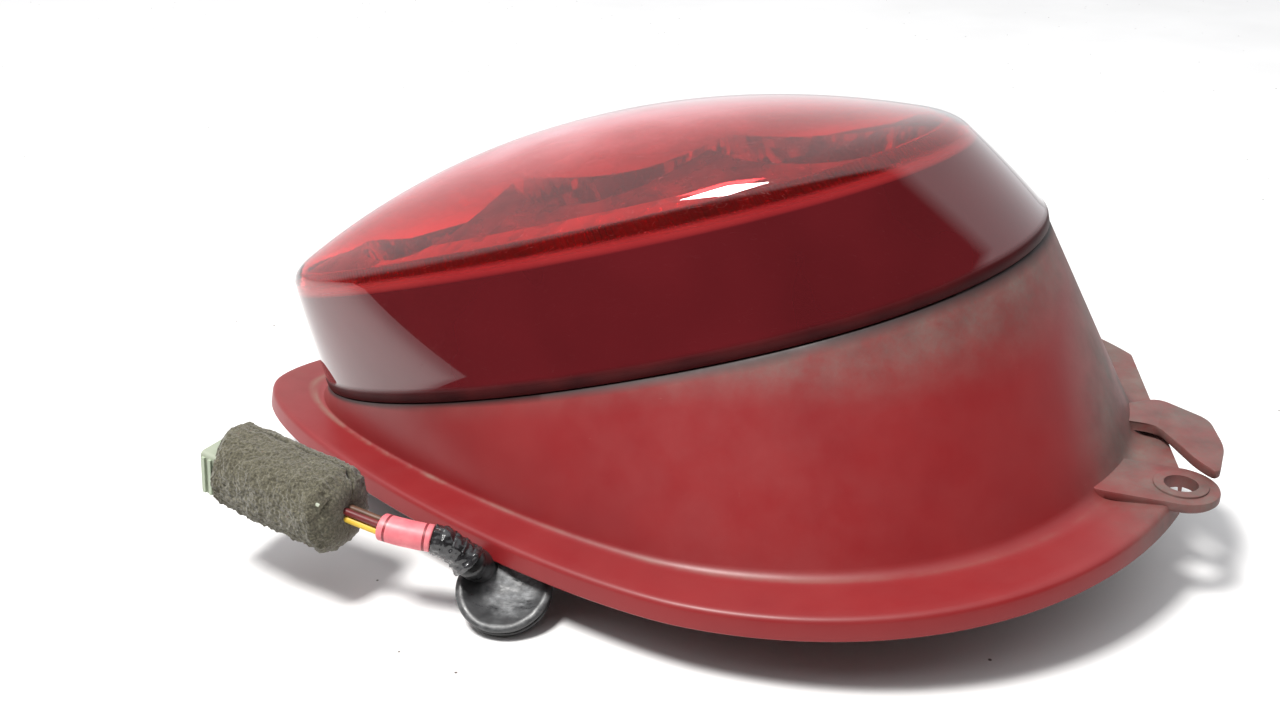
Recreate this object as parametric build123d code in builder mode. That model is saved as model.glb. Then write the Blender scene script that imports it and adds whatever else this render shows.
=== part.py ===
from build123d import *
import math
import os

# Rear lamp on a body-coloured pod: a domed red lens over a tray housing, inside a painted cover
# with a flange. +X runs towards the screw ear, +Y across, +Z out of the vehicle body.
# The origin is midway between the two mounting studs, on their seating plane. Millimetres.

# Painted cover
flange_half_length = 151.0
flange_half_width = 107.5
flange_fullness = 1.75
flange_taper = 0.39
flange_slope = 0.036        # rise of the body panel along X
flange_camber = 7.3         # extra rise of the panel at each end
flange_depth = 6.2          # height of the rolled lip
lip_draft = 0.22            # how far the lip leans in for each millimetre of height
lip_round = 1.6
cover_wall = 2.6
crease_inset = 17.0         # flat band of the flange, from its edge to the foot of the wall
tip_cut = 137.0             # the flange ends here, where the ears take over
ledge_width = 10.5
ledge_thickness = 3.0

# Ears of the cover
ear_x = 135.3
ear_y = -46.1
ear_top = 17.6
ear_thickness = 3.0
ear_hole_radius = 4.6
ear_wall = 5.9
ear_radius = ear_hole_radius + ear_wall
ear_rim_width = 2.8
ear_rim_radius = ear_hole_radius + ear_rim_width
ear_rim_height = 0.6
wing_top = 21.2
wing_thickness = 2.8
wing_outer_corners = ((118, 14), (139, 4), (150, -11), (150.5, -28), (145.5, -44.5))
wing_inner_corners = ((141.5, -39), (133.5, -17), (118, -14))
wing_corner_radius = 5.0

# Lens
lens_half_length = 116.6
lens_half_width = 63.4
lens_fullness = 2.12
lens_taper = 0.165
lens_x = -15.4
lens_z = 48.2
lens_tilt = 16.6
lens_lean = 2.4
rim_half_length = 106.8
rim_half_width = 46.7
rim_fullness = 2.1
rim_taper = 0.35
rim_x = -34.2
rim_z = 77.8
rim_tilt = 16.2
rim_lean = 7.7
dome_height = 24.3
dome_shares = (1.0, 0.9, 0.75, 0.55, 0.3, 0.08)
lens_wall = 2.8
lens_foot_reach = 0.9
lens_foot_height = 2.4

# Housing, measured down from the foot of the lens
seal_thickness = 1.1
housing_rim_thickness = 2.2
housing_rim_inset = 0.5
housing_depth = 14.0
housing_wall = 2.2
ledge_gap = 0.1             # between the housing's rim and the cover's ledge
tray_gap = 1.5              # between the ledge's inner edge and the tray
screw_inset = 7.2
screw_turns = (42, 138, 222, 318)
screw_radius = 1.95
screw_head_overhang = 1.65
screw_head_radius = screw_radius + screw_head_overhang
screw_head_height = 2.4
screw_slot_length = 4.0
screw_slot_width = 1.0
screw_clearance = 0.15
boss_wall = 2.25
boss_radius = screw_radius + boss_wall
boss_bottom = 13.1
lug_wall = 3.55
lug_radius = screw_radius + lug_wall
lug_thickness = 2.4

# Mounting studs and locating pin
stud_x = 68.0
stud_y = -32.0
stud_radius = 3.0
stud_shank_step = 0.4       # the stud is thicker inside its tower
stud_shank_radius = stud_radius + stud_shank_step
stud_reach = 16.0           # below the seating plane
stud_grip = 12.0            # inside its tower
stud_fit = 0.05
tower_wall = 3.6
tower_radius = stud_shank_radius + tower_wall
pin_x = 18.0
pin_y = 42.0
pin_radius = 4.0
pin_tip_chamfer = 1.0

# Bulbs and their twist-lock holders
bulb_places = (-62.0, 0.0, 60.0)
bulb_names = ("left", "middle", "right")
bowl_radii = (27.0, 33.0, 35.0)
moving_gap = 0.3
neck_radius = 13.6
socket_gap = 0.4
socket_hole_radius = neck_radius + socket_gap
bayonet_reach = 3.0
bayonet_width = 7.0
bayonet_height = 2.2
bayonet_release = 30.0
holder_flange_overhang = 4.2
holder_flange_radius = neck_radius + holder_flange_overhang
holder_flange_height = 2.4
ring_seal_height = 1.6
ring_seal_overhang = 3.6
ring_seal_radius = neck_radius + ring_seal_overhang
holder_body_radius = 10.5
holder_body_height = 6.0
grip_length = 30.0
grip_thickness = 5.0
holder_nub_radius = 4.0
holder_nub_height = 2.0
cap_radius = 7.6
cup_wall = 1.9
cup_radius = cap_radius + cup_wall
cup_rise = 9.0
cap_length = 11.0
bulb_fit = 0.1
globe_radius = 11.5
globe_lift = 13.0
glass_neck_inset = 1.0
glass_neck_radius = cap_radius - glass_neck_inset
glass_wall = 0.7
filament_length = 7.0
filament_radius = 0.9
filament_post = 1.0
filament_spread = 6.0
contact_length = 8.0
contact_width = 3.0
contact_thickness = 1.0
contact_dome_radius = 2.0
contact_height = 2.0

# Reflector
reflector_inset = 18.5
reflector_wall = 2.4
reflector_rim_inset = 6.0
reflector_rim_drop = 2.5
bowl_floor = 3.0            # thickness left under the bowls
bulb_opening_gap = 6.0
bulb_opening_radius = cup_radius + bulb_opening_gap

# Breather cap
vent_u = 31.0
vent_v = -28.0
vent_radius = 7.0
vent_height = 4.0
vent_spigot_radius = 3.0
vent_fit = 0.1

# Gasket under the flange
gasket_outer_inset = 13.0
gasket_inner_inset = 18.5
gasket_proud = 1.5

# Harness
branch_radius = 1.2
branch_drop = 11.5          # how far each branch runs straight down from its holder
trunk_radius = 2.5
wire_radius = 1.0
wire_spread = 1.62
bundle_slack = 0.48
bundle_bore = wire_spread + wire_radius + bundle_slack
sleeve_wall = 1.0
sleeve_radius = bundle_bore + sleeve_wall
tape_wall = 1.2
tape_radius = bundle_bore + tape_wall

# Boot that seals the harness into the body panel, and which lies at the panel's level
boot_x = -47.5
boot_y = -89.4
boot_elevation = 60.0
boot_rim_radius = 13.5
boot_skirt_radius = 13.0
boot_groove_radius = 11.6
boot_dish_radius = 11.2
boot_dish_depth = 2.2
boot_ring_height = 1.7
boot_height = 5.0
front_snout_radius = 5.4
front_snout_end_radius = 4.6
rear_snout_radius = 4.6
rear_snout_end_radius = 3.6

# Breakout that joins the three branches to the trunk, and its clip on a post of the housing
breakout_x = -22.0
breakout_y = -38.0
breakout_length = 15.0
breakout_width = 12.0
breakout_bottom = 5.5
breakout_top = 15.5
breakout_corner = 4.0
breakout_round = 1.5
port_length = 5.0
port_wall = 0.8
clip_radius = 5.0
clip_thickness = 2.0
clip_stem_radius = 1.8
clip_stem_length = 7.0
post_radius = 4.0

# Connector and its foam
connector_width = 19.0
connector_height = 14.0
connector_length = 42.0
connector_corner = 1.5
connector_setback = 1.5     # the foam reaches past the connector's back
wire_gap = 0.8              # between the wires' ends and the connector's back
foam_side = 3.0             # thickness beside the connector
foam_width = connector_width + 2 * foam_side
foam_cover = 4.0            # thickness over and under it
foam_height = connector_height + 2 * foam_cover
foam_overlap = 2.0
foam_length = connector_length + foam_overlap
foam_corner = 9.5
foam_gap = 0.2
cavity_width = 3.6
cavity_height = 4.4
cavity_depth = 9.0
cavity_wall = 0.9
cavity_floor = 1.2
terminal_width = 2.2
terminal_thickness = 0.8
terminal_setback = 2.0

outline_points = 32
panel_reach = 175.0
far = 400.0


def inclined(x, z, tilt, lean):
    """Plane that rises towards +X by the tilt and falls towards +Y by the lean, in degrees"""
    rise = math.radians(tilt)
    side = math.radians(lean)
    normal = (
        -math.sin(rise) * math.cos(side),
        math.cos(rise) * math.sin(side),
        math.cos(rise) * math.cos(side),
    )
    return Plane((x, 0, z), x_dir=(math.cos(rise), 0, math.sin(rise)), z_dir=normal)


lens_plane = inclined(lens_x, lens_z, lens_tilt, lens_lean)
rim_plane = inclined(rim_x, rim_z, rim_tilt, rim_lean)
crease_plane = inclined(0, 5.6, math.degrees(math.atan(flange_slope)), 0)


def egg_point(half_length, half_width, fullness, taper, turn):
    """Point of an egg outline, blunt towards +X, at a turn in degrees"""
    cosine = math.cos(math.radians(turn))
    sine = math.sin(math.radians(turn))
    along = math.copysign(abs(cosine) ** (2 / fullness), cosine)
    across = math.copysign(abs(sine) ** (2 / fullness), sine)
    return half_length * along, half_width * across * (1 + taper * along)


def egg(half_length, half_width, fullness, taper):
    """Fill an egg outline in the open sketch"""
    turns = [360 * step / outline_points for step in range(outline_points)]
    with BuildLine() as outline:
        Spline(*[egg_point(half_length, half_width, fullness, taper, turn) for turn in turns], periodic=True)
    make_face(outline.edges())


def flange_egg(inset):
    egg(flange_half_length - inset, flange_half_width - inset, flange_fullness, flange_taper)


def lens_egg(inset):
    egg(lens_half_length - inset, lens_half_width - inset, lens_fullness, lens_taper)


def rim_egg(inset, share=1.0):
    egg((rim_half_length - inset) * share, (rim_half_width - inset) * share, rim_fullness, rim_taper)


def panel_height(x):
    """Height of the vehicle's body panel, which the flange follows"""
    return flange_slope * x + flange_camber * (x / flange_half_length) ** 2


def panel_band(lower, upper):
    """Fill the stretch between two heights over the body panel, in a sketch on the XZ plane"""
    with BuildLine() as band:
        low = ThreePointArc(*[(x, panel_height(x) + lower) for x in (-panel_reach, 0, panel_reach)])
        high = ThreePointArc(*[(x, panel_height(x) + upper) for x in (-panel_reach, 0, panel_reach)])
        Line(low @ 0, high @ 0)
        Line(low @ 1, high @ 1)
    make_face(band.edges())


def screw_places():
    """Places of the four cover screws, on the plane of the lens's foot"""
    size = (lens_half_length - screw_inset, lens_half_width - screw_inset)
    return [egg_point(*size, lens_fullness, lens_taper, turn) for turn in screw_turns]


def save(piece, name):
    piece.part.label = name
    export_step(piece.part, f"parts/{name}.step")


def runs_of(points):
    """Lengths of the runs of a route, and its turns in degrees"""
    runs = [Vector(*after) - Vector(*before) for before, after in zip(points, points[1:])]
    turns = [one.get_angle(other) for one, other in zip(runs, runs[1:])]
    return [run.length for run in runs], turns


def arc_radii(points):
    lengths, turns = runs_of(points)
    pairs = zip(lengths, lengths[1:], turns)
    return [0.45 * min(one, other) / math.tan(math.radians(turn / 2)) for one, other, turn in pairs]


def tube(points, radius, bore=0.0):
    """Tube along straight runs joined by tangent arcs, in the open part"""
    with BuildLine() as route:
        FilletPolyline(*points, radius=arc_radii(points))
    with BuildSketch(Plane(points[0], z_dir=Vector(*points[1]) - Vector(*points[0]))) as section:
        Circle(radius)
        if bore:
            Circle(bore, mode=Mode.SUBTRACT)
    sweep(section.sketch, path=route.wires()[0])
    return route.wires()[0].length


def cord(name, points, radius):
    """Plain tube for a cord, with its radii and volume printed"""
    with BuildPart() as piece:
        length = tube(points, radius)
    radii = ", ".join(f"{value:.1f}" for value in arc_radii(points))
    share = piece.part.volume / (math.pi * radius**2 * length)
    print(f"{name}: length {length:.1f}, radii {radii}, volume over section times length {share:.4f}")
    save(piece, name)


os.makedirs("parts", exist_ok=True)

# Levels below the foot of the lens
housing_rim_top = -seal_thickness
housing_rim_bottom = housing_rim_top - housing_rim_thickness
ledge_top = housing_rim_bottom - ledge_gap
ledge_bottom = ledge_top - ledge_thickness
tray_inset = ledge_width + tray_gap
tray_inner_inset = tray_inset + housing_wall
floor_bottom = -housing_depth
floor_top = floor_bottom + housing_wall

# Painted cover: flange with a rolled lip, wall up to the lens, ledge, screw bosses, two ears

with BuildPart() as flange_hollow:
    with BuildSketch(Plane.XY.offset(-far / 8)):
        flange_egg(cover_wall)
    extrude(amount=far / 4)
    with BuildSketch(Plane.XZ):
        panel_band(-far / 8, flange_depth - cover_wall)
    extrude(amount=far, both=True, mode=Mode.INTERSECT)

with BuildPart() as wall_hollow:
    with BuildSketch(crease_plane):
        flange_egg(crease_inset + cover_wall)
    with BuildSketch(lens_plane.offset(ledge_bottom)):
        lens_egg(cover_wall)
    loft()
    with BuildSketch(crease_plane):
        flange_egg(crease_inset + cover_wall)
    extrude(amount=-far / 10)
    with BuildSketch(lens_plane.offset(ledge_bottom)):
        lens_egg(ledge_width)
    extrude(amount=2 * ledge_thickness)

with BuildPart() as pod_cover:
    with BuildSketch(crease_plane.offset(-4 * flange_depth)):
        flange_egg(-3 * flange_depth * lip_draft)
    with BuildSketch(crease_plane.offset(4 * flange_depth)):
        flange_egg(5 * flange_depth * lip_draft)
    loft()
    with BuildSketch(Plane.XZ):
        panel_band(0, flange_depth)
    extrude(amount=far, both=True, mode=Mode.INTERSECT)
    lip_edges = pod_cover.faces().sort_by(Axis.Z, reverse=True)[0].edges()
    fillet(lip_edges, radius=lip_round)
    with Locations((tip_cut + far / 2, 0, 0)):
        Box(far, far, far, mode=Mode.SUBTRACT)
    with BuildSketch(crease_plane):
        flange_egg(crease_inset)
    with BuildSketch(lens_plane.offset(ledge_top)):
        lens_egg(0)
    loft()
    with BuildSketch(Plane.XY.offset(ear_top - ear_thickness)):
        with Locations((ear_x, ear_y)):
            Circle(ear_radius)
        with Locations((ear_x - 1.8 * ear_radius, ear_y + 0.4 * ear_radius)):
            Circle(ear_radius)
        make_hull()
    extrude(amount=ear_thickness)
    with BuildSketch(Plane.XY.offset(ear_top)):
        with Locations((ear_x, ear_y)):
            Circle(ear_rim_radius)
    extrude(amount=ear_rim_height)
    with BuildSketch(Plane.XY.offset(wing_top - wing_thickness)):
        Polygon(*wing_outer_corners, *wing_inner_corners, align=None)
        fillet(vertices().group_by(Axis.X)[-1] + vertices().group_by(Axis.X)[-2], radius=wing_corner_radius)
    extrude(amount=wing_thickness)
    add(flange_hollow.part, mode=Mode.SUBTRACT)
    add(wall_hollow.part, mode=Mode.SUBTRACT)
    with BuildSketch(Plane.XY.offset(ear_top - far / 20)):
        with Locations((ear_x, ear_y)):
            Circle(ear_hole_radius)
    extrude(amount=far / 10, mode=Mode.SUBTRACT)
    with BuildSketch(lens_plane.offset(-boss_bottom)):
        with Locations(*screw_places()):
            Circle(boss_radius)
    extrude(amount=boss_bottom + ledge_bottom)
    with BuildSketch(lens_plane.offset(-boss_bottom)):
        with Locations(*screw_places()):
            Circle(screw_radius + stud_fit)
    extrude(amount=boss_bottom + ledge_bottom, mode=Mode.SUBTRACT)
save(pod_cover, "pod_cover")

# Lens: side band, rim and dome as one thin shell with a foot


def lens_body(inset, drop, mode):
    """Band and dome of the lens, with its outlines inset and its dome lowered"""
    with BuildPart(mode=Mode.PRIVATE) as body:
        with BuildSketch(lens_plane):
            lens_egg(inset)
        with BuildSketch(rim_plane):
            rim_egg(inset)
        loft()
    with BuildPart(mode=Mode.PRIVATE) as dome:
        for share in dome_shares:
            with BuildSketch(rim_plane.offset((dome_height - drop) * (1 - share**2))):
                rim_egg(inset, share)
        loft()
    add(body.part, mode=mode)
    add(dome.part, mode=mode)


with BuildPart() as outer_lens:
    lens_body(0, 0, Mode.ADD)
    with BuildSketch(lens_plane):
        lens_egg(-lens_foot_reach)
    extrude(amount=lens_foot_height)
    lens_body(lens_wall, lens_wall, Mode.SUBTRACT)
save(outer_lens, "outer_lens")

with BuildPart() as lens_seal:
    with BuildSketch(lens_plane.offset(housing_rim_top)):
        lens_egg(housing_rim_inset)
    extrude(amount=seal_thickness)
    with BuildSketch(lens_plane.offset(housing_rim_top)):
        lens_egg(lens_wall + housing_rim_inset)
    extrude(amount=seal_thickness, mode=Mode.SUBTRACT)
save(lens_seal, "lens_seal")

# Housing: tray with a rim, screw lugs, two stud towers, a locating pin and three bayonet holes
stud_places = [(stud_x, stud_y), (-stud_x, -stud_y)]

with BuildPart() as towers:
    with BuildSketch(Plane.XY):
        with Locations(*stud_places, (pin_x, pin_y)):
            Circle(tower_radius)
    extrude(amount=far / 4)
    with BuildSketch(Plane.XY.offset(breakout_top + clip_thickness)):
        with Locations((breakout_x, breakout_y)):
            Circle(post_radius)
    extrude(amount=far / 4)
    with BuildSketch(Plane.XY.offset(breakout_top + clip_thickness)):
        with Locations((breakout_x, breakout_y)):
            Circle(clip_stem_radius + stud_fit)
    extrude(amount=clip_stem_length, mode=Mode.SUBTRACT)
    with BuildSketch(lens_plane.offset(floor_bottom + housing_wall / 2)):
        Rectangle(far, far)
    extrude(amount=far / 2, mode=Mode.SUBTRACT)

with BuildPart() as lamp_housing:
    with BuildSketch(lens_plane.offset(housing_rim_top)):
        lens_egg(housing_rim_inset)
    extrude(amount=-housing_rim_thickness)
    with BuildSketch(lens_plane.offset(housing_rim_bottom)):
        lens_egg(tray_inset)
    extrude(amount=floor_bottom - housing_rim_bottom)
    with BuildSketch(lens_plane.offset(-boss_bottom - ledge_gap)):
        for place in screw_places():
            inward = Vector(*place).normalized() * 2 * lug_radius
            with BuildSketch(mode=Mode.PRIVATE) as lug:
                with Locations(place, Vector(*place) - inward):
                    Circle(lug_radius)
                make_hull()
            add(lug.sketch)
    extrude(amount=-lug_thickness)
    with BuildSketch(lens_plane.offset(floor_top)):
        lens_egg(tray_inner_inset)
    extrude(amount=housing_depth, mode=Mode.SUBTRACT)
    add(towers.part)
    with BuildSketch(Plane.XY):
        with Locations((pin_x, pin_y)):
            Circle(pin_radius)
    extrude(amount=-stud_reach)
    chamfer(lamp_housing.edges().group_by(Axis.Z)[0], length=pin_tip_chamfer)
    with BuildSketch(Plane.XY):
        with Locations(*stud_places):
            Circle(stud_shank_radius + stud_fit)
    extrude(amount=stud_grip, mode=Mode.SUBTRACT)
    with BuildSketch(lens_plane.offset(floor_bottom - housing_wall)):
        for place in bulb_places:
            with Locations((place, 0)):
                Circle(socket_hole_radius)
                with PolarLocations(neck_radius, 3, start_angle=bayonet_release):
                    Rectangle(2 * (bayonet_reach + moving_gap), bayonet_width + 2 * moving_gap)
        with Locations((vent_u, vent_v)):
            Circle(vent_spigot_radius + vent_fit)
        with Locations(*screw_places()):
            Circle(screw_radius + screw_clearance)
    extrude(amount=3 * housing_wall, mode=Mode.SUBTRACT)
save(lamp_housing, "lamp_housing")

with BuildPart() as mounting_studs:
    with BuildSketch(Plane.XY.offset(-stud_reach)):
        with Locations(*stud_places):
            Circle(stud_radius)
    extrude(amount=stud_reach)
    chamfer(mounting_studs.edges().group_by(Axis.Z)[0], length=stud_radius / 4)
    with BuildSketch(Plane.XY):
        with Locations(*stud_places):
            Circle(stud_shank_radius)
    extrude(amount=stud_grip)
save(mounting_studs, "mounting_studs")

with BuildPart() as cover_screws:
    with BuildSketch(lens_plane.offset(-boss_bottom - ledge_gap - lug_thickness)):
        with Locations(*screw_places()):
            Circle(screw_radius)
    extrude(amount=lug_thickness + ledge_gap + boss_bottom + ledge_bottom - screw_clearance)
    with BuildSketch(lens_plane.offset(-boss_bottom - ledge_gap - lug_thickness)):
        with Locations(*screw_places()):
            Circle(screw_head_radius)
    extrude(amount=-screw_head_height)
    with BuildSketch(lens_plane.offset(-boss_bottom - ledge_gap - lug_thickness - screw_head_height)):
        with Locations(*screw_places()):
            Rectangle(screw_slot_length, screw_slot_width)
            Rectangle(screw_slot_width, screw_slot_length)
    extrude(amount=screw_head_height / 2, mode=Mode.SUBTRACT)
save(cover_screws, "cover_screws")

with BuildPart() as vent_cap:
    with BuildSketch(lens_plane.offset(floor_bottom)):
        with Locations((vent_u, vent_v)):
            Circle(vent_radius)
    extrude(amount=-vent_height)
    fillet(vent_cap.edges().sort_by(Axis(lens_plane.origin, lens_plane.z_dir))[0], radius=vent_height / 4)
    with BuildSketch(lens_plane.offset(floor_bottom)):
        with Locations((vent_u, vent_v)):
            Circle(vent_spigot_radius)
    extrude(amount=housing_wall)
save(vent_cap, "vent_cap")

with BuildPart() as flange_gasket:
    with BuildSketch(Plane.XY.offset(-far / 8)):
        flange_egg(gasket_outer_inset)
    extrude(amount=far / 4)
    with BuildSketch(Plane.XY.offset(-far / 8)):
        flange_egg(gasket_inner_inset)
    extrude(amount=far / 4, mode=Mode.SUBTRACT)
    with BuildSketch(Plane.XZ):
        panel_band(-gasket_proud, flange_depth - cover_wall - ledge_gap)
    extrude(amount=far, both=True, mode=Mode.INTERSECT)
save(flange_gasket, "flange_gasket")

# Reflector: one body with three bowls
bowl_top = rim_z - lens_z


def bowl_cut(place, mouth_radius, grow, mode):
    """Bowl with a parabolic wall at a bulb's place, grown sideways by a wall's thickness"""
    floor = bowl_floor + floor_top
    inner = bulb_opening_radius + grow
    outer = mouth_radius + grow
    knee = floor + bulb_opening_radius * (bowl_top - floor) / (mouth_radius + bulb_opening_radius)
    foot = floor_top - bowl_floor
    roof = 2 * bowl_top
    centre = lens_plane.from_local_coords((place, 0, 0))
    with BuildSketch(Plane(centre, x_dir=lens_plane.x_dir, z_dir=-lens_plane.y_dir)) as section:
        with BuildLine() as profile:
            Bezier((inner, floor), ((inner + outer) / 2, knee), (outer, bowl_top))
            Polyline((outer, bowl_top), (outer, roof), (0, roof), (0, foot), (inner, foot), (inner, floor))
        make_face(profile.edges())
    revolve(section.sketch, axis=Axis(centre, lens_plane.z_dir), mode=mode)


with BuildPart() as reflector_core:
    with BuildSketch(lens_plane.offset(floor_top + ledge_gap)):
        lens_egg(reflector_inset + reflector_wall)
    with BuildSketch(rim_plane.offset(-reflector_rim_drop - reflector_wall)):
        rim_egg(reflector_rim_inset + reflector_wall)
    loft()
    for place, mouth_radius in zip(bulb_places, bowl_radii):
        bowl_cut(place, mouth_radius, reflector_wall, Mode.SUBTRACT)

with BuildPart() as reflector:
    with BuildSketch(lens_plane.offset(floor_top + ledge_gap)):
        lens_egg(reflector_inset)
    with BuildSketch(rim_plane.offset(-reflector_rim_drop)):
        rim_egg(reflector_rim_inset)
    loft()
    add(reflector_core.part, mode=Mode.SUBTRACT)
    for place, mouth_radius in zip(bulb_places, bowl_radii):
        bowl_cut(place, mouth_radius, 0, Mode.SUBTRACT)
    with BuildSketch(lens_plane.offset(floor_top)):
        for place in bulb_places:
            with Locations((place, 0)):
                Circle(neck_radius + bayonet_reach + 2 * moving_gap)
    extrude(amount=bayonet_height + 2 * moving_gap, mode=Mode.SUBTRACT)
save(reflector, "reflector")

# Bulbs, holders, seals and contacts, turned about the normal of the lens's foot
flange_top = floor_bottom - moving_gap - ring_seal_height
flange_foot = flange_top - holder_flange_height
body_foot = flange_foot - holder_body_height
nub_foot = body_foot - holder_nub_height
lug_foot = floor_top + moving_gap
cup_floor = flange_foot + holder_flange_height / 2
cup_top = lug_foot + cup_rise
cap_foot = cup_floor + contact_height
cap_top = cap_foot + cap_length
globe_centre = cap_top + globe_lift

for place, name in zip(bulb_places, bulb_names):
    spot = (place, 0)

    with BuildPart() as bulb_holder:
        with BuildSketch(lens_plane.offset(flange_foot)):
            with Locations(spot):
                Circle(holder_flange_radius)
        extrude(amount=holder_flange_height)
        with BuildSketch(lens_plane.offset(flange_top)):
            with Locations(spot):
                Circle(neck_radius)
        extrude(amount=lug_foot + bayonet_height - flange_top)
        with BuildSketch(lens_plane.offset(lug_foot)):
            with Locations(spot):
                with PolarLocations(neck_radius, 3):
                    Rectangle(2 * bayonet_reach, bayonet_width)
        extrude(amount=bayonet_height)
        with BuildSketch(lens_plane.offset(lug_foot)):
            with Locations(spot):
                Circle(cup_radius)
        extrude(amount=cup_rise)
        with BuildSketch(lens_plane.offset(body_foot)):
            with Locations(spot):
                Circle(holder_body_radius)
                RectangleRounded(grip_length, grip_thickness, radius=grip_thickness / 2.1)
        extrude(amount=holder_body_height)
        with BuildSketch(lens_plane.offset(nub_foot)):
            with Locations(spot):
                Circle(holder_nub_radius)
        extrude(amount=holder_nub_height)
        with BuildSketch(lens_plane.offset(cup_floor)):
            with Locations(spot):
                Circle(cap_radius + bulb_fit)
        extrude(amount=cup_top - cup_floor, mode=Mode.SUBTRACT)
    save(bulb_holder, f"bulb_holder_{name}")

    with BuildPart() as holder_seal:
        with BuildSketch(lens_plane.offset(flange_top)):
            with Locations(spot):
                Circle(ring_seal_radius)
                Circle(neck_radius + bulb_fit, mode=Mode.SUBTRACT)
        extrude(amount=ring_seal_height)
    save(holder_seal, f"holder_seal_{name}")

    with BuildPart() as holder_contact:
        with BuildSketch(lens_plane.offset(cup_floor)):
            with Locations(spot):
                Rectangle(contact_length, contact_width)
        extrude(amount=contact_thickness)
        with BuildSketch(lens_plane.offset(cup_floor + contact_thickness)):
            with Locations(spot):
                Circle(contact_dome_radius)
        extrude(amount=contact_height - contact_thickness)
    save(holder_contact, f"holder_contact_{name}")

    with BuildPart() as bulb_cap:
        with BuildSketch(lens_plane.offset(cap_foot)):
            with Locations(spot):
                Circle(cap_radius)
        extrude(amount=cap_length)
    save(bulb_cap, f"bulb_cap_{name}")

    with BuildPart() as bulb_glass:
        centre = lens_plane.from_local_coords((place, 0, 0))
        with BuildSketch(Plane(centre, x_dir=lens_plane.x_dir, z_dir=-lens_plane.y_dir)):
            with Locations((0, globe_centre)):
                Circle(globe_radius)
            with Locations((0, (cap_top + globe_centre) / 2)):
                Rectangle(2 * glass_neck_radius, globe_centre - cap_top)
            with Locations((0, globe_centre)):
                Circle(globe_radius - glass_wall, mode=Mode.SUBTRACT)
            with Locations((0, (cap_top + globe_centre) / 2)):
                Rectangle(2 * (glass_neck_radius - glass_wall), globe_centre - cap_top, mode=Mode.SUBTRACT)
            with Locations((-far / 2, 0)):
                Rectangle(far, far, mode=Mode.SUBTRACT)
        revolve(axis=Axis(centre, lens_plane.z_dir))
    save(bulb_glass, f"bulb_glass_{name}")

    with BuildPart() as bulb_filament:
        with BuildSketch(lens_plane.offset(cap_top)):
            with Locations(spot):
                with GridLocations(filament_spread, 0, 2, 1):
                    Rectangle(filament_post, filament_post)
        extrude(amount=globe_lift)
        coil_end = lens_plane.from_local_coords((place - filament_length / 2, 0, globe_centre))
        with BuildSketch(Plane(coil_end, x_dir=lens_plane.z_dir, z_dir=lens_plane.x_dir)):
            Circle(filament_radius)
        extrude(amount=filament_length)
    save(bulb_filament, f"bulb_filament_{name}")

# Boot: squat rubber grommet with a groove, a dished face and two snouts
boot_lean = math.radians(boot_elevation)
boot_z = -stud_reach + boot_height * math.sin(boot_lean) + boot_skirt_radius * math.cos(boot_lean)
boot_axis = (0, -math.cos(boot_lean), math.sin(boot_lean))
boot_face = (boot_x, boot_y, boot_z)
boot_dish_sphere = (boot_dish_radius**2 + boot_dish_depth**2) / (2 * boot_dish_depth)
front_snout = ((-50.6, -89.2, -5.5), (-56.9, -89.9, 2.4))
rear_snout = ((-47.0, -86.0, -9.2), (-45.0, -73.0, -10.0))


def snout(ends, foot_radius, end_radius):
    """Tapered round neck between two points, in the open part"""
    direction = Vector(*ends[1]) - Vector(*ends[0])
    with BuildSketch(Plane(ends[0], z_dir=direction)) as foot:
        Circle(foot_radius)
    with BuildSketch(Plane(ends[1], z_dir=direction)) as end:
        Circle(end_radius)
    loft([foot.sketch, end.sketch])


with BuildPart() as panel_boot:
    with BuildSketch(Plane(boot_face, x_dir=(1, 0, 0), z_dir=Vector(1, 0, 0).cross(Vector(*boot_axis)))):
        with BuildLine():
            Polyline((0, -boot_dish_depth), (0, -boot_height), (boot_skirt_radius, -boot_height),
                     (boot_skirt_radius, boot_ring_height - boot_height),
                     (boot_groove_radius, boot_ring_height - boot_height),
                     (boot_groove_radius, -boot_ring_height), (boot_rim_radius, -boot_ring_height),
                     (boot_rim_radius, 0), (boot_dish_radius, 0))
            RadiusArc((boot_dish_radius, 0), (0, -boot_dish_depth), boot_dish_sphere)
        make_face()
    revolve(axis=Axis(boot_face, boot_axis))
    snout(front_snout, front_snout_radius, front_snout_end_radius)
    snout(rear_snout, rear_snout_radius, rear_snout_end_radius)
save(panel_boot, "panel_boot")

# Harness branches, from each holder's end to the breakout
branch_exits = [tuple(lens_plane.from_local_coords((place, 0, nub_foot))) for place in bulb_places]
branch_bend = nub_foot - branch_drop
branch_dips = [tuple(lens_plane.from_local_coords((place, 0, branch_bend))) for place in bulb_places]
branch_routes = (
    [(-54, -10, -9), (-44, -19.5, -6.5), (-36, -27.5, 0), (-29.1, -32.6, 5.1)],
    [(-10, -13, 5), (-15.5, -22.5, 4), (-18.9, -30.7, 7.4)],
    [(46, -12, 18), (30, -24, 12), (13, -31, 10), (-1, -35, 9.5), (-11.9, -36.5, 10)],
)
branch_lines = [[start, dip, *rest] for start, dip, rest in zip(branch_exits, branch_dips, branch_routes)]
for name, line in zip(bulb_names, branch_lines):
    cord(f"branch_{name}", line, branch_radius)

# Trunk, from the breakout to the boot
trunk_route = [(-24.6, -40.9, 3.5), (-28.5, -44.2, -4.5), (-34.5, -51, -9), (-42, -60.5, -11.0),
               (-44.98, -72.8, -9.99)]
cord("harness_trunk", trunk_route, trunk_radius)

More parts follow.
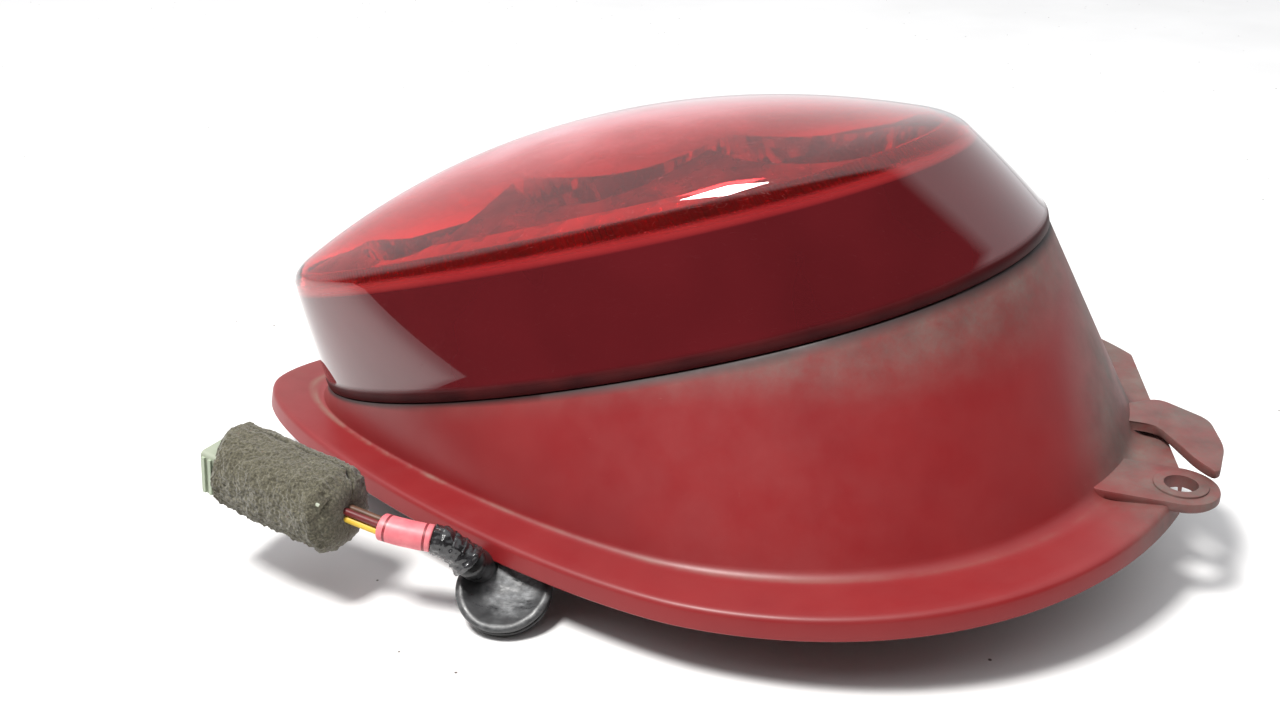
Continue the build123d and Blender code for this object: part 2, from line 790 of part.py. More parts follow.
# Breakout block with a port for each cable, and its clip
with BuildPart() as harness_breakout:
    with BuildSketch(Plane.XY.offset(breakout_bottom)):
        with Locations((breakout_x, breakout_y)):
            RectangleRounded(breakout_length, breakout_width, radius=breakout_corner)
    extrude(amount=breakout_top - breakout_bottom)
    fillet(harness_breakout.faces().sort_by(Axis.Z)[0].edges(), radius=breakout_round)
    for points in (*branch_lines, trunk_route[::-1]):
        port_end = Vector(*points[-1])
        inward = (port_end - Vector(*points[-2])).normalized() * port_length
        radius = trunk_radius if points[-1] == trunk_route[0] else branch_radius
        snout((port_end + inward, port_end), radius + 2 * port_wall, radius + port_wall)
save(harness_breakout, "harness_breakout")

with BuildPart() as harness_clip:
    with BuildSketch(Plane.XY.offset(breakout_top)):
        with Locations((breakout_x, breakout_y)):
            Circle(clip_radius)
    extrude(amount=clip_thickness)
    with BuildSketch(Plane.XY.offset(breakout_top + clip_thickness)):
        with Locations((breakout_x, breakout_y)):
            Circle(clip_stem_radius)
    extrude(amount=clip_stem_length - stud_fit)
save(harness_clip, "harness_clip")

# Pigtail: four wires side by side, from the boot to the connector, inside tape and a marker sleeve
pigtail_bend = (-61.9, -90.5, 8.6)
wire_start = (-57.3, -89.95, 2.9)
tape_end = (-66.0, -90.66, 9.12)
sleeve_start = (-66.2, -90.67, 9.15)
sleeve_bend = (-72.0, -90.9, 9.9)
sleeve_end = (-80.5, -89.9, 11.0)
connector_foot = Vector(-92.0, -86.5, 12.5)
connector_axis = Vector(-41.0, 15.0, 5.5).normalized()
connector_start = connector_foot + connector_axis * connector_setback
pigtail_route = [wire_start, pigtail_bend, sleeve_bend, sleeve_end, (-87, -88, 11.9),
                 tuple(connector_start - connector_axis * wire_gap)]
wire_names = ("yellow", "maroon", "brown", "black")
wire_turns = (225, 135, 45, 315)
for name, turn in zip(wire_names, wire_turns):
    side = wire_spread * math.cos(math.radians(turn))
    up = wire_spread * math.sin(math.radians(turn))
    shift = (0.4 * up, side, 0.9 * up)
    wire_route = [tuple(value + extra for value, extra in zip(point, shift)) for point in pigtail_route]
    cord(f"wire_{name}", wire_route, wire_radius)

with BuildPart() as tape_wrap:
    tube([front_snout[1], pigtail_bend, tape_end], tape_radius, bundle_bore)
save(tape_wrap, "tape_wrap")

with BuildPart() as marker_sleeve:
    tube([sleeve_start, sleeve_bend, sleeve_end], sleeve_radius, bundle_bore)
save(marker_sleeve, "marker_sleeve")

# Connector, its terminals and the foam around it
across = Vector(connector_axis.Y, -connector_axis.X, 0).normalized()
connector_plane = Plane(connector_start, x_dir=across, z_dir=connector_axis)
connector_face = connector_plane.offset(connector_length)

with BuildPart() as connector_housing:
    with BuildSketch(connector_plane):
        RectangleRounded(connector_width, connector_height, radius=connector_corner)
    extrude(amount=connector_length)
    with BuildSketch(connector_face):
        with GridLocations(cavity_width + cavity_wall, cavity_height + cavity_floor, 4, 2):
            Rectangle(cavity_width, cavity_height)
    extrude(amount=-cavity_depth, mode=Mode.SUBTRACT)
save(connector_housing, "connector_housing")

with BuildPart() as connector_terminals:
    with BuildSketch(connector_plane.offset(connector_length - cavity_depth)):
        with Locations((0, -(cavity_height + cavity_floor) / 2)):
            with GridLocations(cavity_width + cavity_wall, 0, 4, 1):
                Rectangle(terminal_width, terminal_thickness)
    extrude(amount=cavity_depth - terminal_setback)
save(connector_terminals, "connector_terminals")

with BuildPart() as foam_wrap:
    with BuildSketch(Plane(connector_foot, x_dir=across, z_dir=connector_axis)):
        RectangleRounded(foam_width, foam_height, radius=foam_corner)
        RectangleRounded(connector_width + 2 * foam_gap, connector_height + 2 * foam_gap,
                         radius=connector_corner + foam_gap, mode=Mode.SUBTRACT)
    extrude(amount=foam_length)
save(foam_wrap, "foam_wrap")
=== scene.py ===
import bmesh
import bpy
import math
from mathutils import Matrix, Vector, noise


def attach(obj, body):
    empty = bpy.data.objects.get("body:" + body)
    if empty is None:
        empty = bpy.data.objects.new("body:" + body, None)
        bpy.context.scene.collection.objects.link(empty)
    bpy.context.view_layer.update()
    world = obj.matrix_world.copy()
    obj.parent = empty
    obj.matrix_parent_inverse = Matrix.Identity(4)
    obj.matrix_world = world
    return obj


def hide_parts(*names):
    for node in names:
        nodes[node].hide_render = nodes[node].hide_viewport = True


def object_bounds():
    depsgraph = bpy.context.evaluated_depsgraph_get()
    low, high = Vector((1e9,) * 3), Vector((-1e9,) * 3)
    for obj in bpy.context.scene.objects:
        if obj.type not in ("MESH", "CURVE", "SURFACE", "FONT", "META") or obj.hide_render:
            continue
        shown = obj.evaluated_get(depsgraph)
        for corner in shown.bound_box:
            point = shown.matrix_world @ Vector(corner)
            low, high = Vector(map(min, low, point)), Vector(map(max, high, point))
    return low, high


# Rear lamp on its body-coloured pod. Metres, in the frame of the CAD model: +X towards the screw
# ear, +Y across, +Z out of the vehicle's body. The lens and its prisms, the pod, reflector, boot,
# tape, sleeve, foam, connector ribs and cords are built here. The rest are CAD nodes with materials.
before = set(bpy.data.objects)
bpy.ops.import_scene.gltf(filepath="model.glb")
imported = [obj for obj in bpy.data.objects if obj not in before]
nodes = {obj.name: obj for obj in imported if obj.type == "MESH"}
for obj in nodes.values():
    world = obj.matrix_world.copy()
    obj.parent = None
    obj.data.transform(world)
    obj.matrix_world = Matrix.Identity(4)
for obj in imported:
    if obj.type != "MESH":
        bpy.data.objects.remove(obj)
cad_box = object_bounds()
body = "lamp"
tau = 2 * math.pi

# Camera at the photograph's angle
camera_target = Vector((-0.01871, -0.02985, 0.03748))
camera_azimuth = math.radians(8.619)
camera_elevation = math.radians(25.255)
camera_distance = 0.40154
camera_lens = 38.03

# Outlines of the flange, the lens's foot and its rim, as eggs blunt towards +X
flange_outline = {"half_length": 0.151, "half_width": 0.1075, "fullness": 1.75, "taper": 0.39}
foot_outline = {"half_length": 0.1166, "half_width": 0.0634, "fullness": 2.12, "taper": 0.165}
rim_outline = {"half_length": 0.1068, "half_width": 0.0467, "fullness": 2.1, "taper": 0.35}
dome_height = 0.0243
lens_wall = 0.0028
crease_inset = 0.017
cover_wall = 0.0026
flange_depth = 0.0062
ledge_level = -0.0034
ledge_width = 0.0105
ledge_thickness = 0.003
tip_cut = 0.137

# Ears of the pod
ear_centre = Vector((0.1353, -0.0461))
ear_radius = 0.0105
ear_top = 0.0176
ear_thickness = 0.003
ear_hole_radius = 0.0046
wing_top = 0.0212
wing_thickness = 0.0028
wing_corners = ((0.118, -0.008), (0.1375, 0.0015), (0.150, -0.011), (0.1505, -0.028), (0.1455, -0.0445),
                (0.1415, -0.039), (0.1335, -0.017), (0.118, -0.014))

# Bulb bowls of the reflector
bowl_places = (-0.062, 0.0, 0.060)
bowl_radii = (0.027, 0.033, 0.035)
bowl_opening = 0.0155
bowl_floor = -0.0088
reflector_floor = -0.009
reflector_inset = 0.0185
reflector_rim_inset = 0.006
reflector_rim_drop = 0.0025

# Boot, and the routes of the trunk and of the pigtail's four wires
boot_face = Vector((-0.0475, -0.0894, -0.00517))
boot_axis = Vector((0, -0.5, 0.866))
boot_snouts = (
    ((-0.0545, -0.0805, -0.0065), (-0.0569, -0.0899, 0.0024), 0.0048, 0.0044),
    ((-0.0470, -0.0860, -0.0092), (-0.0450, -0.0730, -0.0100), 0.0046, 0.0036),
)
trunk_route = ((-0.0246, -0.0409, 0.0035), (-0.0285, -0.0442, -0.0045), (-0.0345, -0.051, -0.009),
               (-0.042, -0.0605, -0.011), (-0.04498, -0.0728, -0.00999))
trunk_radius = 0.0025
connector_foot = Vector((-0.092, -0.0865, 0.0125))
connector_axis = Vector((-41.0, 15.0, 5.5)).normalized()
connector_end = connector_foot + connector_axis * 0.0007
pigtail_route = ((-0.0573, -0.08995, 0.0029), (-0.0619, -0.0905, 0.0086), (-0.072, -0.0909, 0.0099),
                 (-0.0805, -0.0899, 0.011), (-0.087, -0.088, 0.0119), tuple(connector_end))
wire_radius = 0.001
wire_spread = 0.00162
wire_turns = {"yellow": 225, "maroon": 135, "brown": 45, "black": 315}
tape_reach = -0.0660
sleeve_reach = (-0.0662, -0.0805)
foam_length = 0.044


# ---------------------------------------------------------------- meshes


def piece(name, mesh):
    """Object for a mesh, riding on the lamp's body"""
    made = bpy.data.objects.new(name, mesh)
    bpy.context.scene.collection.objects.link(made)
    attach(made, body)
    return made


def ring_mesh(name, rings, loop=False, smooth=True):
    """Closed mesh from rings of points: the first and last ring are joined, or each is filled"""
    count = len(rings[0])
    faces = []
    last = len(rings) if loop else len(rings) - 1
    for row in range(last):
        above = (row + 1) % len(rings)
        for step in range(count):
            after = (step + 1) % count
            below, over = row * count, above * count
            faces.append((below + step, below + after, over + after, over + step))
    if not loop:
        faces.append(tuple(reversed(range(count))))
        faces.append(tuple((len(rings) - 1) * count + step for step in range(count)))
    mesh = bpy.data.meshes.new(name)
    mesh.from_pydata([point for ring in rings for point in ring], [], faces)
    turn_outwards(mesh)
    mesh.shade_smooth() if smooth else mesh.shade_flat()
    return mesh


def turn_outwards(mesh):
    editor = bmesh.new()
    editor.from_mesh(mesh)
    bmesh.ops.recalc_face_normals(editor, faces=editor.faces)
    editor.to_mesh(mesh)
    editor.free()


def egg(outline, turn, inset=0.0, share=1.0):
    """Point of an egg outline at a turn in radians, moved in by an inset and scaled by a share"""
    cosine, sine = math.cos(turn), math.sin(turn)
    power = 2 / outline["fullness"]
    along = math.copysign(abs(cosine) ** power, cosine)
    across = math.copysign(abs(sine) ** power, sine)
    x = (outline["half_length"] - inset) * share * along
    y = (outline["half_width"] - inset) * share * across * (1 + outline["taper"] * along)
    return x, y


def inclined(x, z, tilt, lean):
    """Matrix of a plane that rises towards +X by the tilt and falls towards +Y by the lean"""
    rise, side = math.radians(tilt), math.radians(lean)
    along = Vector((math.cos(rise), 0, math.sin(rise)))
    normal = Vector((-along.z * math.cos(side), along.x * math.sin(side), along.x * math.cos(side)))
    matrix = Matrix((along, normal.cross(along), normal)).transposed().to_4x4()
    matrix.translation = (x, 0, z)
    return matrix


foot_plane = inclined(-0.0154, 0.0482, 16.6, 2.4)
rim_plane = inclined(-0.0342, 0.0778, 16.2, 7.7)
crease_plane = inclined(0, 0.0056, math.degrees(math.atan(0.036)), 0)


def on_plane(plane, outline, turn, height=0.0, inset=0.0, share=1.0):
    x, y = egg(outline, turn, inset, share)
    return plane @ Vector((x, y, height))


def turns(count):
    return [tau * step / count for step in range(count)]


def ring(function, count):
    return [function(turn) for turn in turns(count)]


def bend(start, corner, end, share):
    """Point of a quadratic curve that rounds a corner"""
    return start * (1 - share) ** 2 + corner * 2 * share * (1 - share) + end * share**2


def attribute(mesh, name, values):
    layer = mesh.attributes.new(name, "FLOAT", "POINT")
    layer.data.foreach_set("value", values)


def smoothstep(low, high, value):
    share = min(max((value - low) / (high - low), 0.0), 1.0)
    return share * share * (3 - 2 * share)


# ---------------------------------------------------------------- shader helpers


class Shader:
    """A material with one Principled node, and short names for the nodes that feed it"""

    def __init__(self, name, **values):
        self.material = bpy.data.materials.new(name)
        self.material.use_nodes = True
        self.tree = self.material.node_tree
        self.surface = self.tree.nodes["Principled BSDF"]
        self.place = self.tree.nodes.new("ShaderNodeTexCoord").outputs["Object"]
        for key, value in values.items():
            self.surface.inputs[key.replace("_", " ").title().replace("Ior", "IOR")].default_value = value

    def node(self, kind, **settings):
        made = self.tree.nodes.new(kind)
        for key, value in settings.items():
            setattr(made, key, value)
        return made

    def feed(self, socket, value):
        if isinstance(value, bpy.types.NodeSocket):
            self.tree.links.new(value, socket)
        else:
            socket.default_value = value

    def noise(self, scale, detail=3.0, roughness=0.55, stretch=(1, 1, 1)):
        mapping = self.node("ShaderNodeMapping")
        mapping.inputs["Scale"].default_value = stretch
        self.feed(mapping.inputs["Vector"], self.place)
        made = self.node("ShaderNodeTexNoise")
        made.inputs["Scale"].default_value = scale
        made.inputs["Detail"].default_value = detail
        made.inputs["Roughness"].default_value = roughness
        self.feed(made.inputs["Vector"], mapping.outputs[0])
        return made.outputs["Fac"]

    def cells(self, scale, feature="F1", stretch=(1, 1, 1)):
        mapping = self.node("ShaderNodeMapping")
        mapping.inputs["Scale"].default_value = stretch
        self.feed(mapping.inputs["Vector"], self.place)
        made = self.node("ShaderNodeTexVoronoi", feature=feature)
        made.inputs["Scale"].default_value = scale
        self.feed(made.inputs["Vector"], mapping.outputs[0])
        return made.outputs["Distance"]

    def ramp(self, value, *stops):
        """Colour ramp with stops of a place and a colour, or a place and a level of grey"""
        made = self.node("ShaderNodeValToRGB")
        elements = made.color_ramp.elements
        while len(elements) < len(stops):
            elements.new(0.5)
        for element, (place, colour) in zip(elements, stops):
            element.position = place
            element.color = (*colour, 1) if isinstance(colour, tuple) else (colour, colour, colour, 1)
        self.feed(made.inputs["Fac"], value)
        return made.outputs["Color"]

    def tones(self, field, dark, light, low=0.3, high=0.7):
        """Ramp between two tones over the middle of a field of noise"""
        return self.ramp(field, (low, dark), (high, light))

    def mix(self, share, first, second):
        made = self.node("ShaderNodeMix", data_type="RGBA")
        self.feed(made.inputs[0], share)
        for socket, value in ((made.inputs[6], first), (made.inputs[7], second)):
            self.feed(socket, (*value, 1) if isinstance(value, tuple) else value)
        return made.outputs[2]

    def math(self, operation, first, second=0.0):
        made = self.node("ShaderNodeMath", operation=operation)
        made.use_clamp = True
        self.feed(made.inputs[0], first)
        self.feed(made.inputs[1], second)
        return made.outputs[0]

    def attribute(self, name):
        return self.node("ShaderNodeAttribute", attribute_name=name).outputs["Fac"]

    def colour(self, value):
        self.feed(self.surface.inputs["Base Color"], value)

    def rough(self, value):
        self.feed(self.surface.inputs["Roughness"], value)

    def bump(self, height, distance, strength=1.0):
        made = self.node("ShaderNodeBump")
        made.inputs["Distance"].default_value = distance
        made.inputs["Strength"].default_value = strength
        self.feed(made.inputs["Height"], height)
        self.feed(self.surface.inputs["Normal"], made.outputs[0])


# ---------------------------------------------------------------- materials


def scratches(shader, scale, low, high):
    """Mask of sparse fine scratches: stretched noise cut to its narrow middle"""
    field = shader.noise(scale, 2.0, 0.4, (1.0, 9.0, 3.0))
    return shader.ramp(field, (low, 0.0), ((low + high) / 2, 1.0), (high, 0.0))


def lens_material():
    """Moulded acrylic: clear red over the bowls; round the band an opaque dark maroon, painted shade for the
    unlit inside behind it; pale patches on the dome, partly weathering and partly a painted reflection of the
    bright ceiling; fine scratches
    """
    shader = Shader("red_lens_acrylic", ior=1.49, coat_weight=1.0, coat_roughness=0.02)
    band = shader.attribute("band")
    lip = shader.attribute("lip")
    # Painted shade: the band gets this opaque dark maroon, with no transmission, in place of the unlit inside
    # seen through it
    tone = shader.ramp(shader.noise(26, 2.0), (0.35, (0.072, 0.0035, 0.006)), (0.7, (0.090, 0.005, 0.008)))
    clear = shader.tones(shader.noise(18, 1.0), (0.79, 0.045, 0.055), (0.92, 0.085, 0.085))
    patches = shader.noise(34, 5.0, 0.6, (1.0, 2.2, 1.0))
    # Pale patches on the dome: partly weathering, partly a painted reflection of the bright ceiling; they
    # also lower the transmission
    wear_and_sheen = shader.math("MULTIPLY", shader.attribute("haze_and_sheen"), shader.tones(patches, 0.5, 1.0))
    toned = shader.mix(band, shader.mix(wear_and_sheen, clear, (0.66, 0.34, 0.38)), tone)
    shader.colour(shader.mix(lip, toned, shader.ramp(shader.noise(70, 3.0), (0.3, (0.030, 0.003, 0.004)),
                                                     (0.7, (0.058, 0.006, 0.007)))))
    shader.feed(shader.surface.inputs["Transmission Weight"], shader.math("SUBTRACT", shader.math(
        "SUBTRACT", 1.0, band), shader.math("MULTIPLY", wear_and_sheen, 0.66)))
    shader.feed(shader.surface.inputs["Specular IOR Level"], shader.ramp(lip, (0.0, 0.5), (1.0, 0.1)))
    shader.feed(shader.surface.inputs["Coat Weight"], shader.ramp(lip, (0.0, 1.0), (1.0, 0.0)))
    fine = scratches(shader, 90, 0.495, 0.505)
    haze_and_sheen = shader.ramp(shader.noise(300, 3.0), (0.4, 0.015), (0.75, 0.06))
    shader.rough(shader.mix(lip, shader.mix(fine, haze_and_sheen, (0.3, 0.3, 0.3)), (0.5, 0.5, 0.5)))
    shader.bump(shader.noise(40, 1.0), 0.0001, 0.08)
    return shader.material


def prism_material():
    """Bright red ribbed strip moulded inside the lens"""
    shader = Shader("red_prism_acrylic", ior=1.49, roughness=0.12, transmission_weight=0.35, coat_weight=0.6)
    shader.colour(shader.tones(shader.noise(60, 2.0), (0.42, 0.009, 0.012), (0.62, 0.018, 0.018)))
    return shader.material


def paint_material():
    """Red satin paint, with settled dust, a dirty crease, small scuffs and painted shade in the gap under the
    lens's lip
    """
    shader = Shader("red_pod_paint", ior=1.45, coat_weight=0.10, coat_roughness=0.3)
    red = shader.tones(shader.noise(30, 3.0), (0.195, 0.0075, 0.010), (0.225, 0.010, 0.012))
    cloud = shader.noise(55, 5.0, 0.65)
    grain = shader.noise(900, 4.0, 0.7)
    veil = shader.math("MULTIPLY", shader.attribute("dust"), shader.ramp(cloud, (0.25, 0.35), (0.6, 1.0)))
    veil = shader.math("MULTIPLY", veil, shader.ramp(grain, (0.25, 0.7), (0.6, 1.0)))
    dirt = shader.tones(shader.noise(120, 4.0), (0.100, 0.066, 0.058), (0.150, 0.112, 0.098))
    dirty = shader.mix(veil, red, dirt)
    line = shader.math("MULTIPLY", shader.attribute("crease"), shader.ramp(cloud, (0.40, 0.05), (0.58, 0.85)))
    dirty = shader.mix(line, dirty, (0.21, 0.10, 0.075))
    # Painted shade: the ledge in the gap under the lens's lip is coloured near black
    dirty = shader.mix(shader.attribute("gap"), dirty, (0.018, 0.006, 0.006))
    scuff = shader.math("MULTIPLY", shader.ramp(shader.noise(330, 5.0, 0.8), (0.70, 0.0), (0.74, 1.0)), 0.5)
    shader.colour(shader.mix(scuff, dirty, (0.30, 0.10, 0.085)))
    shader.rough(shader.mix(veil, shader.tones(cloud, 0.38, 0.50), (0.75, 0.75, 0.75)))
    shader.bump(shader.noise(700, 3.0), 0.00006, 0.25)
    return shader.material


def plastic_material(name, dark, light, roughness, scale=220):
    """Moulded plastic or rubber with a fine grain and uneven tone"""
    shader = Shader(name, ior=1.47)
    shader.colour(shader.ramp(shader.noise(scale / 5, 4.0, 0.6), (0.3, dark), (0.72, light)))
    shader.rough(shader.tones(shader.noise(scale, 3.0), roughness, roughness + 0.14))
    shader.bump(shader.noise(scale * 5, 3.0), 0.00008, 0.35)
    return shader.material


def metal_material(name, dark, light, roughness, grain=900):
    shader = Shader(name, metallic=1.0)
    shader.colour(shader.tones(shader.noise(80, 4.0), dark, light))
    shader.rough(shader.tones(shader.noise(grain / 3, 3.0), roughness, roughness + 0.12))
    shader.bump(shader.noise(grain, 2.0), 0.00003, 0.3)
    return shader.material


def chrome_material():
    """Metallised plastic with pillow-shaped optics pressed into it"""
    shader = Shader("reflector_chrome", metallic=1.0)
    shader.colour(shader.tones(shader.noise(40, 2.0), (0.80, 0.76, 0.72), (0.97, 0.95, 0.93)))
    shader.rough(shader.tones(shader.noise(120, 2.0), 0.03, 0.09))
    shader.bump(shader.cells(190, "F1", (1.0, 1.0, 0.35)), 0.0016, 0.75)
    return shader.material


def glass_material():
    shader = Shader("bulb_glass", ior=1.46, transmission_weight=1.0)
    shader.colour(shader.tones(shader.noise(60, 2.0), (0.97, 0.95, 0.92), (1.0, 0.99, 0.97)))
    shader.rough(shader.ramp(shader.noise(150, 2.0), (0.4, 0.0), (0.8, 0.05)))
    return shader.material


def boot_material():
    """Black rubber under pale dust, thick in the dish and thin on the rim, with a paler ring along the rim's
    top that is a painted highlight
    """
    shader = Shader("boot_rubber", ior=1.5, specular_ior_level=0.6)
    streaks = shader.noise(190, 6.0, 0.7, (0.5, 1.6, 1.6))
    # The dust attribute is real dust in the dish plus a painted highlight along the rim's top
    dust = shader.math("MULTIPLY", shader.attribute("dust"), shader.ramp(streaks, (0.32, 0.05), (0.62, 1.0)))
    black = shader.tones(shader.noise(150, 3.0), (0.007, 0.007, 0.008), (0.020, 0.020, 0.021))
    chalk = shader.ramp(shader.noise(500, 4.0), (0.35, (0.11, 0.115, 0.12)), (0.7, (0.34, 0.35, 0.36)))
    shader.colour(shader.mix(dust, black, chalk))
    shader.rough(shader.mix(dust, shader.tones(streaks, 0.22, 0.4), (0.85, 0.85, 0.85)))
    shader.bump(shader.noise(900, 4.0), 0.0001, 0.4)
    return shader.material


def tape_material():
    shader = Shader("black_tape", ior=1.5, coat_weight=0.7, coat_roughness=0.12)
    wrinkles = shader.noise(260, 4.0)
    shader.colour(shader.tones(wrinkles, (0.004, 0.004, 0.005), (0.030, 0.030, 0.033), 0.35, 0.75))
    shader.rough(shader.tones(shader.noise(500, 4.0), 0.14, 0.38))
    shader.bump(shader.cells(620, "F1"), 0.00018, 0.5)
    return shader.material


def sleeve_material(name, dark, light):
    shader = Shader(name, ior=1.48, subsurface_weight=0.0)
    shader.colour(shader.tones(shader.noise(240, 4.0), dark, light))
    shader.rough(shader.tones(shader.noise(300, 3.0), 0.38, 0.55))
    shader.bump(shader.noise(800, 2.0), 0.00005, 0.3)
    return shader.material


def foam_material():
    """Open-cell foam, olive grey, with pale crumbs and a dark glued seam"""
    shader = Shader("olive_foam", roughness=1.0, specular_ior_level=0.15, sheen_weight=0.35)
    olive = ((0.34, (0.040, 0.036, 0.024)), (0.5, (0.098, 0.090, 0.062)), (0.68, (0.190, 0.178, 0.128)))
    pores = shader.ramp(shader.noise(1300, 4.0, 0.75), *olive)
    crumbs = shader.ramp(shader.noise(700, 5.0, 0.8), (0.66, 0.0), (0.70, 1.0))
    speckled = shader.mix(crumbs, pores, (0.36, 0.34, 0.27))
    broken = shader.tones(shader.noise(400), 0.5, 1.0, 0.3, 0.6)
    seam = shader.math("MULTIPLY", shader.attribute("seam"), broken)
    shader.colour(shader.mix(seam, speckled, (0.020, 0.019, 0.017)))
    shader.bump(shader.noise(1600, 4.0, 0.8), 0.0004, 0.8)
    return shader.material


def floor_material():
    """White table with sparse dark specks"""
    shader = Shader("white_table", roughness=0.55)
    specks = shader.ramp(shader.cells(75), (0.035, 1.0), (0.05, 0.0))
    patch = shader.ramp(shader.noise(14, 2.0), (0.42, 0.0), (0.5, 1.0))
    tone = shader.tones(shader.noise(9, 3.0), (0.80, 0.80, 0.80), (0.86, 0.86, 0.86))
    shader.colour(shader.mix(shader.math("MULTIPLY", specks, patch), tone, (0.10, 0.08, 0.07)))
    return shader.material


# ---------------------------------------------------------------- camera, cords


def make_camera():
    back = Vector((
        math.sin(camera_azimuth) * math.cos(camera_elevation),
        -math.cos(camera_azimuth) * math.cos(camera_elevation),
        math.sin(camera_elevation),
    ))
    camera = bpy.data.objects.new("camera", bpy.data.cameras.new("camera"))
    bpy.context.scene.collection.objects.link(camera)
    camera.location = camera_target + back * camera_distance
    camera.rotation_mode = "QUATERNION"
    camera.rotation_quaternion = (-back).to_track_quat("-Z", "Y")
    camera.data.sensor_width = 36
    camera.data.lens = camera_lens
    camera.data.clip_start = 0.01
    bpy.context.scene.camera = camera


def spline_curve(name, points, radius):
    """Smooth curve with a route's points as its control points"""
    curve = bpy.data.curves.new(name, "CURVE")
    curve.dimensions = "3D"
    spline = curve.splines.new("NURBS")
    spline.points.add(len(points) - 1)
    for control, point in zip(spline.points, points):
        control.co = (*point, 1)
        control.radius = radius
    spline.order_u = 3
    spline.use_endpoint_u = True
    spline.resolution_u = 16
    curve.bevel_depth = 1.0 if radius else 0.0
    curve.bevel_resolution = 5
    curve.use_fill_caps = True
    return curve


def centreline(points):
    """Points along the smooth curve of a route"""
    line = bpy.data.objects.new("centreline", spline_curve("centreline", points, 0.0))
    bpy.context.scene.collection.objects.link(line)
    mesh = bpy.data.meshes.new_from_object(line)
    found = [vertex.co.copy() for vertex in mesh.vertices]
    bpy.data.objects.remove(line)
    return found


def wire_route(turn):
    side = wire_spread * math.cos(math.radians(turn))
    up = wire_spread * math.sin(math.radians(turn))
    return [Vector(point) + Vector((0.4 * up, side, 0.9 * up)) for point in pigtail_route]


def at_distance(line, distance):
    """Point and direction at a distance along a line of points"""
    for before, after in zip(line, line[1:]):
        step = (after - before).length
        if distance <= step:
            return before.lerp(after, distance / step), (after - before).normalized()
        distance -= step
    return line[-1].copy(), (line[-1] - line[-2]).normalized()


def sweep_rings(line, start, end, steps, count, radius):
    """Rings round a line between two distances along it, with the radius as a function"""
    rings = []
    for step in range(steps + 1):
        share = step / steps
        centre, along = at_distance(line, start + (end - start) * share)
        side = along.cross(Vector((0, 0, 1))).normalized()
        up = side.cross(along)
        rings.append([
            centre + (side * math.cos(turn) + up * math.sin(turn)) * radius(share, turn, centre)
            for turn in turns(count)
        ])
    return rings


def distance_at(line, x):
    """Distance along a line at which it passes a place on X"""
    total = 0.0
    for before, after in zip(line, line[1:]):
        if min(before.x, after.x) <= x <= max(before.x, after.x):
            return total + (after - before).length * (x - before.x) / (after.x - before.x)
        total += (after - before).length
    return total


# ---------------------------------------------------------------- pieces


def make_lens():
    """Band, rounded rim and dome as one shell with a lip that covers the housing's rim"""
    count = 320

    def foot(inset, height):
        return ring(lambda turn: on_plane(foot_plane, foot_outline, turn, height, inset), count)

    def band_point(turn, share, inset):
        low = on_plane(foot_plane, foot_outline, turn, 0, inset)
        high = on_plane(rim_plane, rim_outline, turn, 0, inset)
        outward = (low - foot_plane @ Vector((0, 0, 0))).normalized()
        return low.lerp(high, share) + outward * 0.0024 * share * (1 - share)

    def dome_point(turn, share, inset):
        return on_plane(rim_plane, rim_outline, turn, (dome_height - inset) * (1 - share**2), inset, share)

    def shoulder(inset, share):
        def point(turn):
            corner = on_plane(rim_plane, rim_outline, turn, 0, inset)
            return bend(band_point(turn, 0.88, inset), corner, dome_point(turn, 0.93, inset), share)
        return ring(point, count)

    dome_shares = [0.02 + 0.9 * step / 22 for step in range(23)]
    rings = [ring(lambda turn, s=share: dome_point(turn, s, lens_wall), count) for share in dome_shares]
    rings += [shoulder(lens_wall, 1 - step / 6) for step in range(7)]
    inner_shares = (0.8, 0.6, 0.4, 0.2, 0.0)
    rings += [ring(lambda turn, s=share: band_point(turn, s, lens_wall), count) for share in inner_shares]
    rings += [foot(inset, height) for inset, height in ((0.0004, 0.0), (0.0004, -0.0031))]
    lip = ((0.0002, -0.0032), (-0.0002, -0.0029), (-0.0003, -0.0006), (-0.0002, -0.0001), (0.0, 0.0004))
    rings += [foot(inset, height) for inset, height in lip]
    rings += [
        ring(lambda turn, s=share: band_point(turn, s, 0.0), count)
        for share in (0.04, 0.1, 0.2, 0.3, 0.4, 0.5, 0.6, 0.7, 0.78, 0.83)
    ]
    rings += [shoulder(0.0, step / 10) for step in range(11)]
    rings += [ring(lambda turn, s=share: dome_point(turn, s, 0.0), count) for share in reversed(dome_shares)]
    mesh = ring_mesh("lens", rings)
    values = []
    for row in range(len(rings)):
        for turn in turns(count):
            reach = band_share(rings[row][len(values) % count])
            values.append(1 - smoothstep(0.79, 0.86, reach))
    # The band attribute marks where the lens is painted opaque dark maroon as shade
    attribute(mesh, "band", values)
    attribute(mesh, "haze_and_sheen", [haze_and_sheen_on(vertex.co) for vertex in mesh.vertices])
    attribute(mesh, "lip", [1 - smoothstep(0.005, 0.02, band_share(vertex.co)) for vertex in mesh.vertices])
    lens = piece("lens", mesh)
    lens.data.materials.append(lens_material())
    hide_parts("outer_lens")
    return lens


def haze_and_sheen_on(point):
    """Share of pale haze on the dome, partly real weathering and partly a painted reflection of the bright
    ceiling: most at its top and along its far side
    """
    height = (rim_plane.inverted() @ point).z
    return smoothstep(0.002, 0.024, height + 0.22 * point.y) * (1 - 0.35 * smoothstep(0.0, 0.09, point.x))


def band_share(point):
    """How far a point is from the foot's plane, 0, to the rim's, 1"""
    low = (foot_plane.inverted() @ point).z
    high = (rim_plane.inverted() @ point).z
    return low / max(low - high, 1e-6)


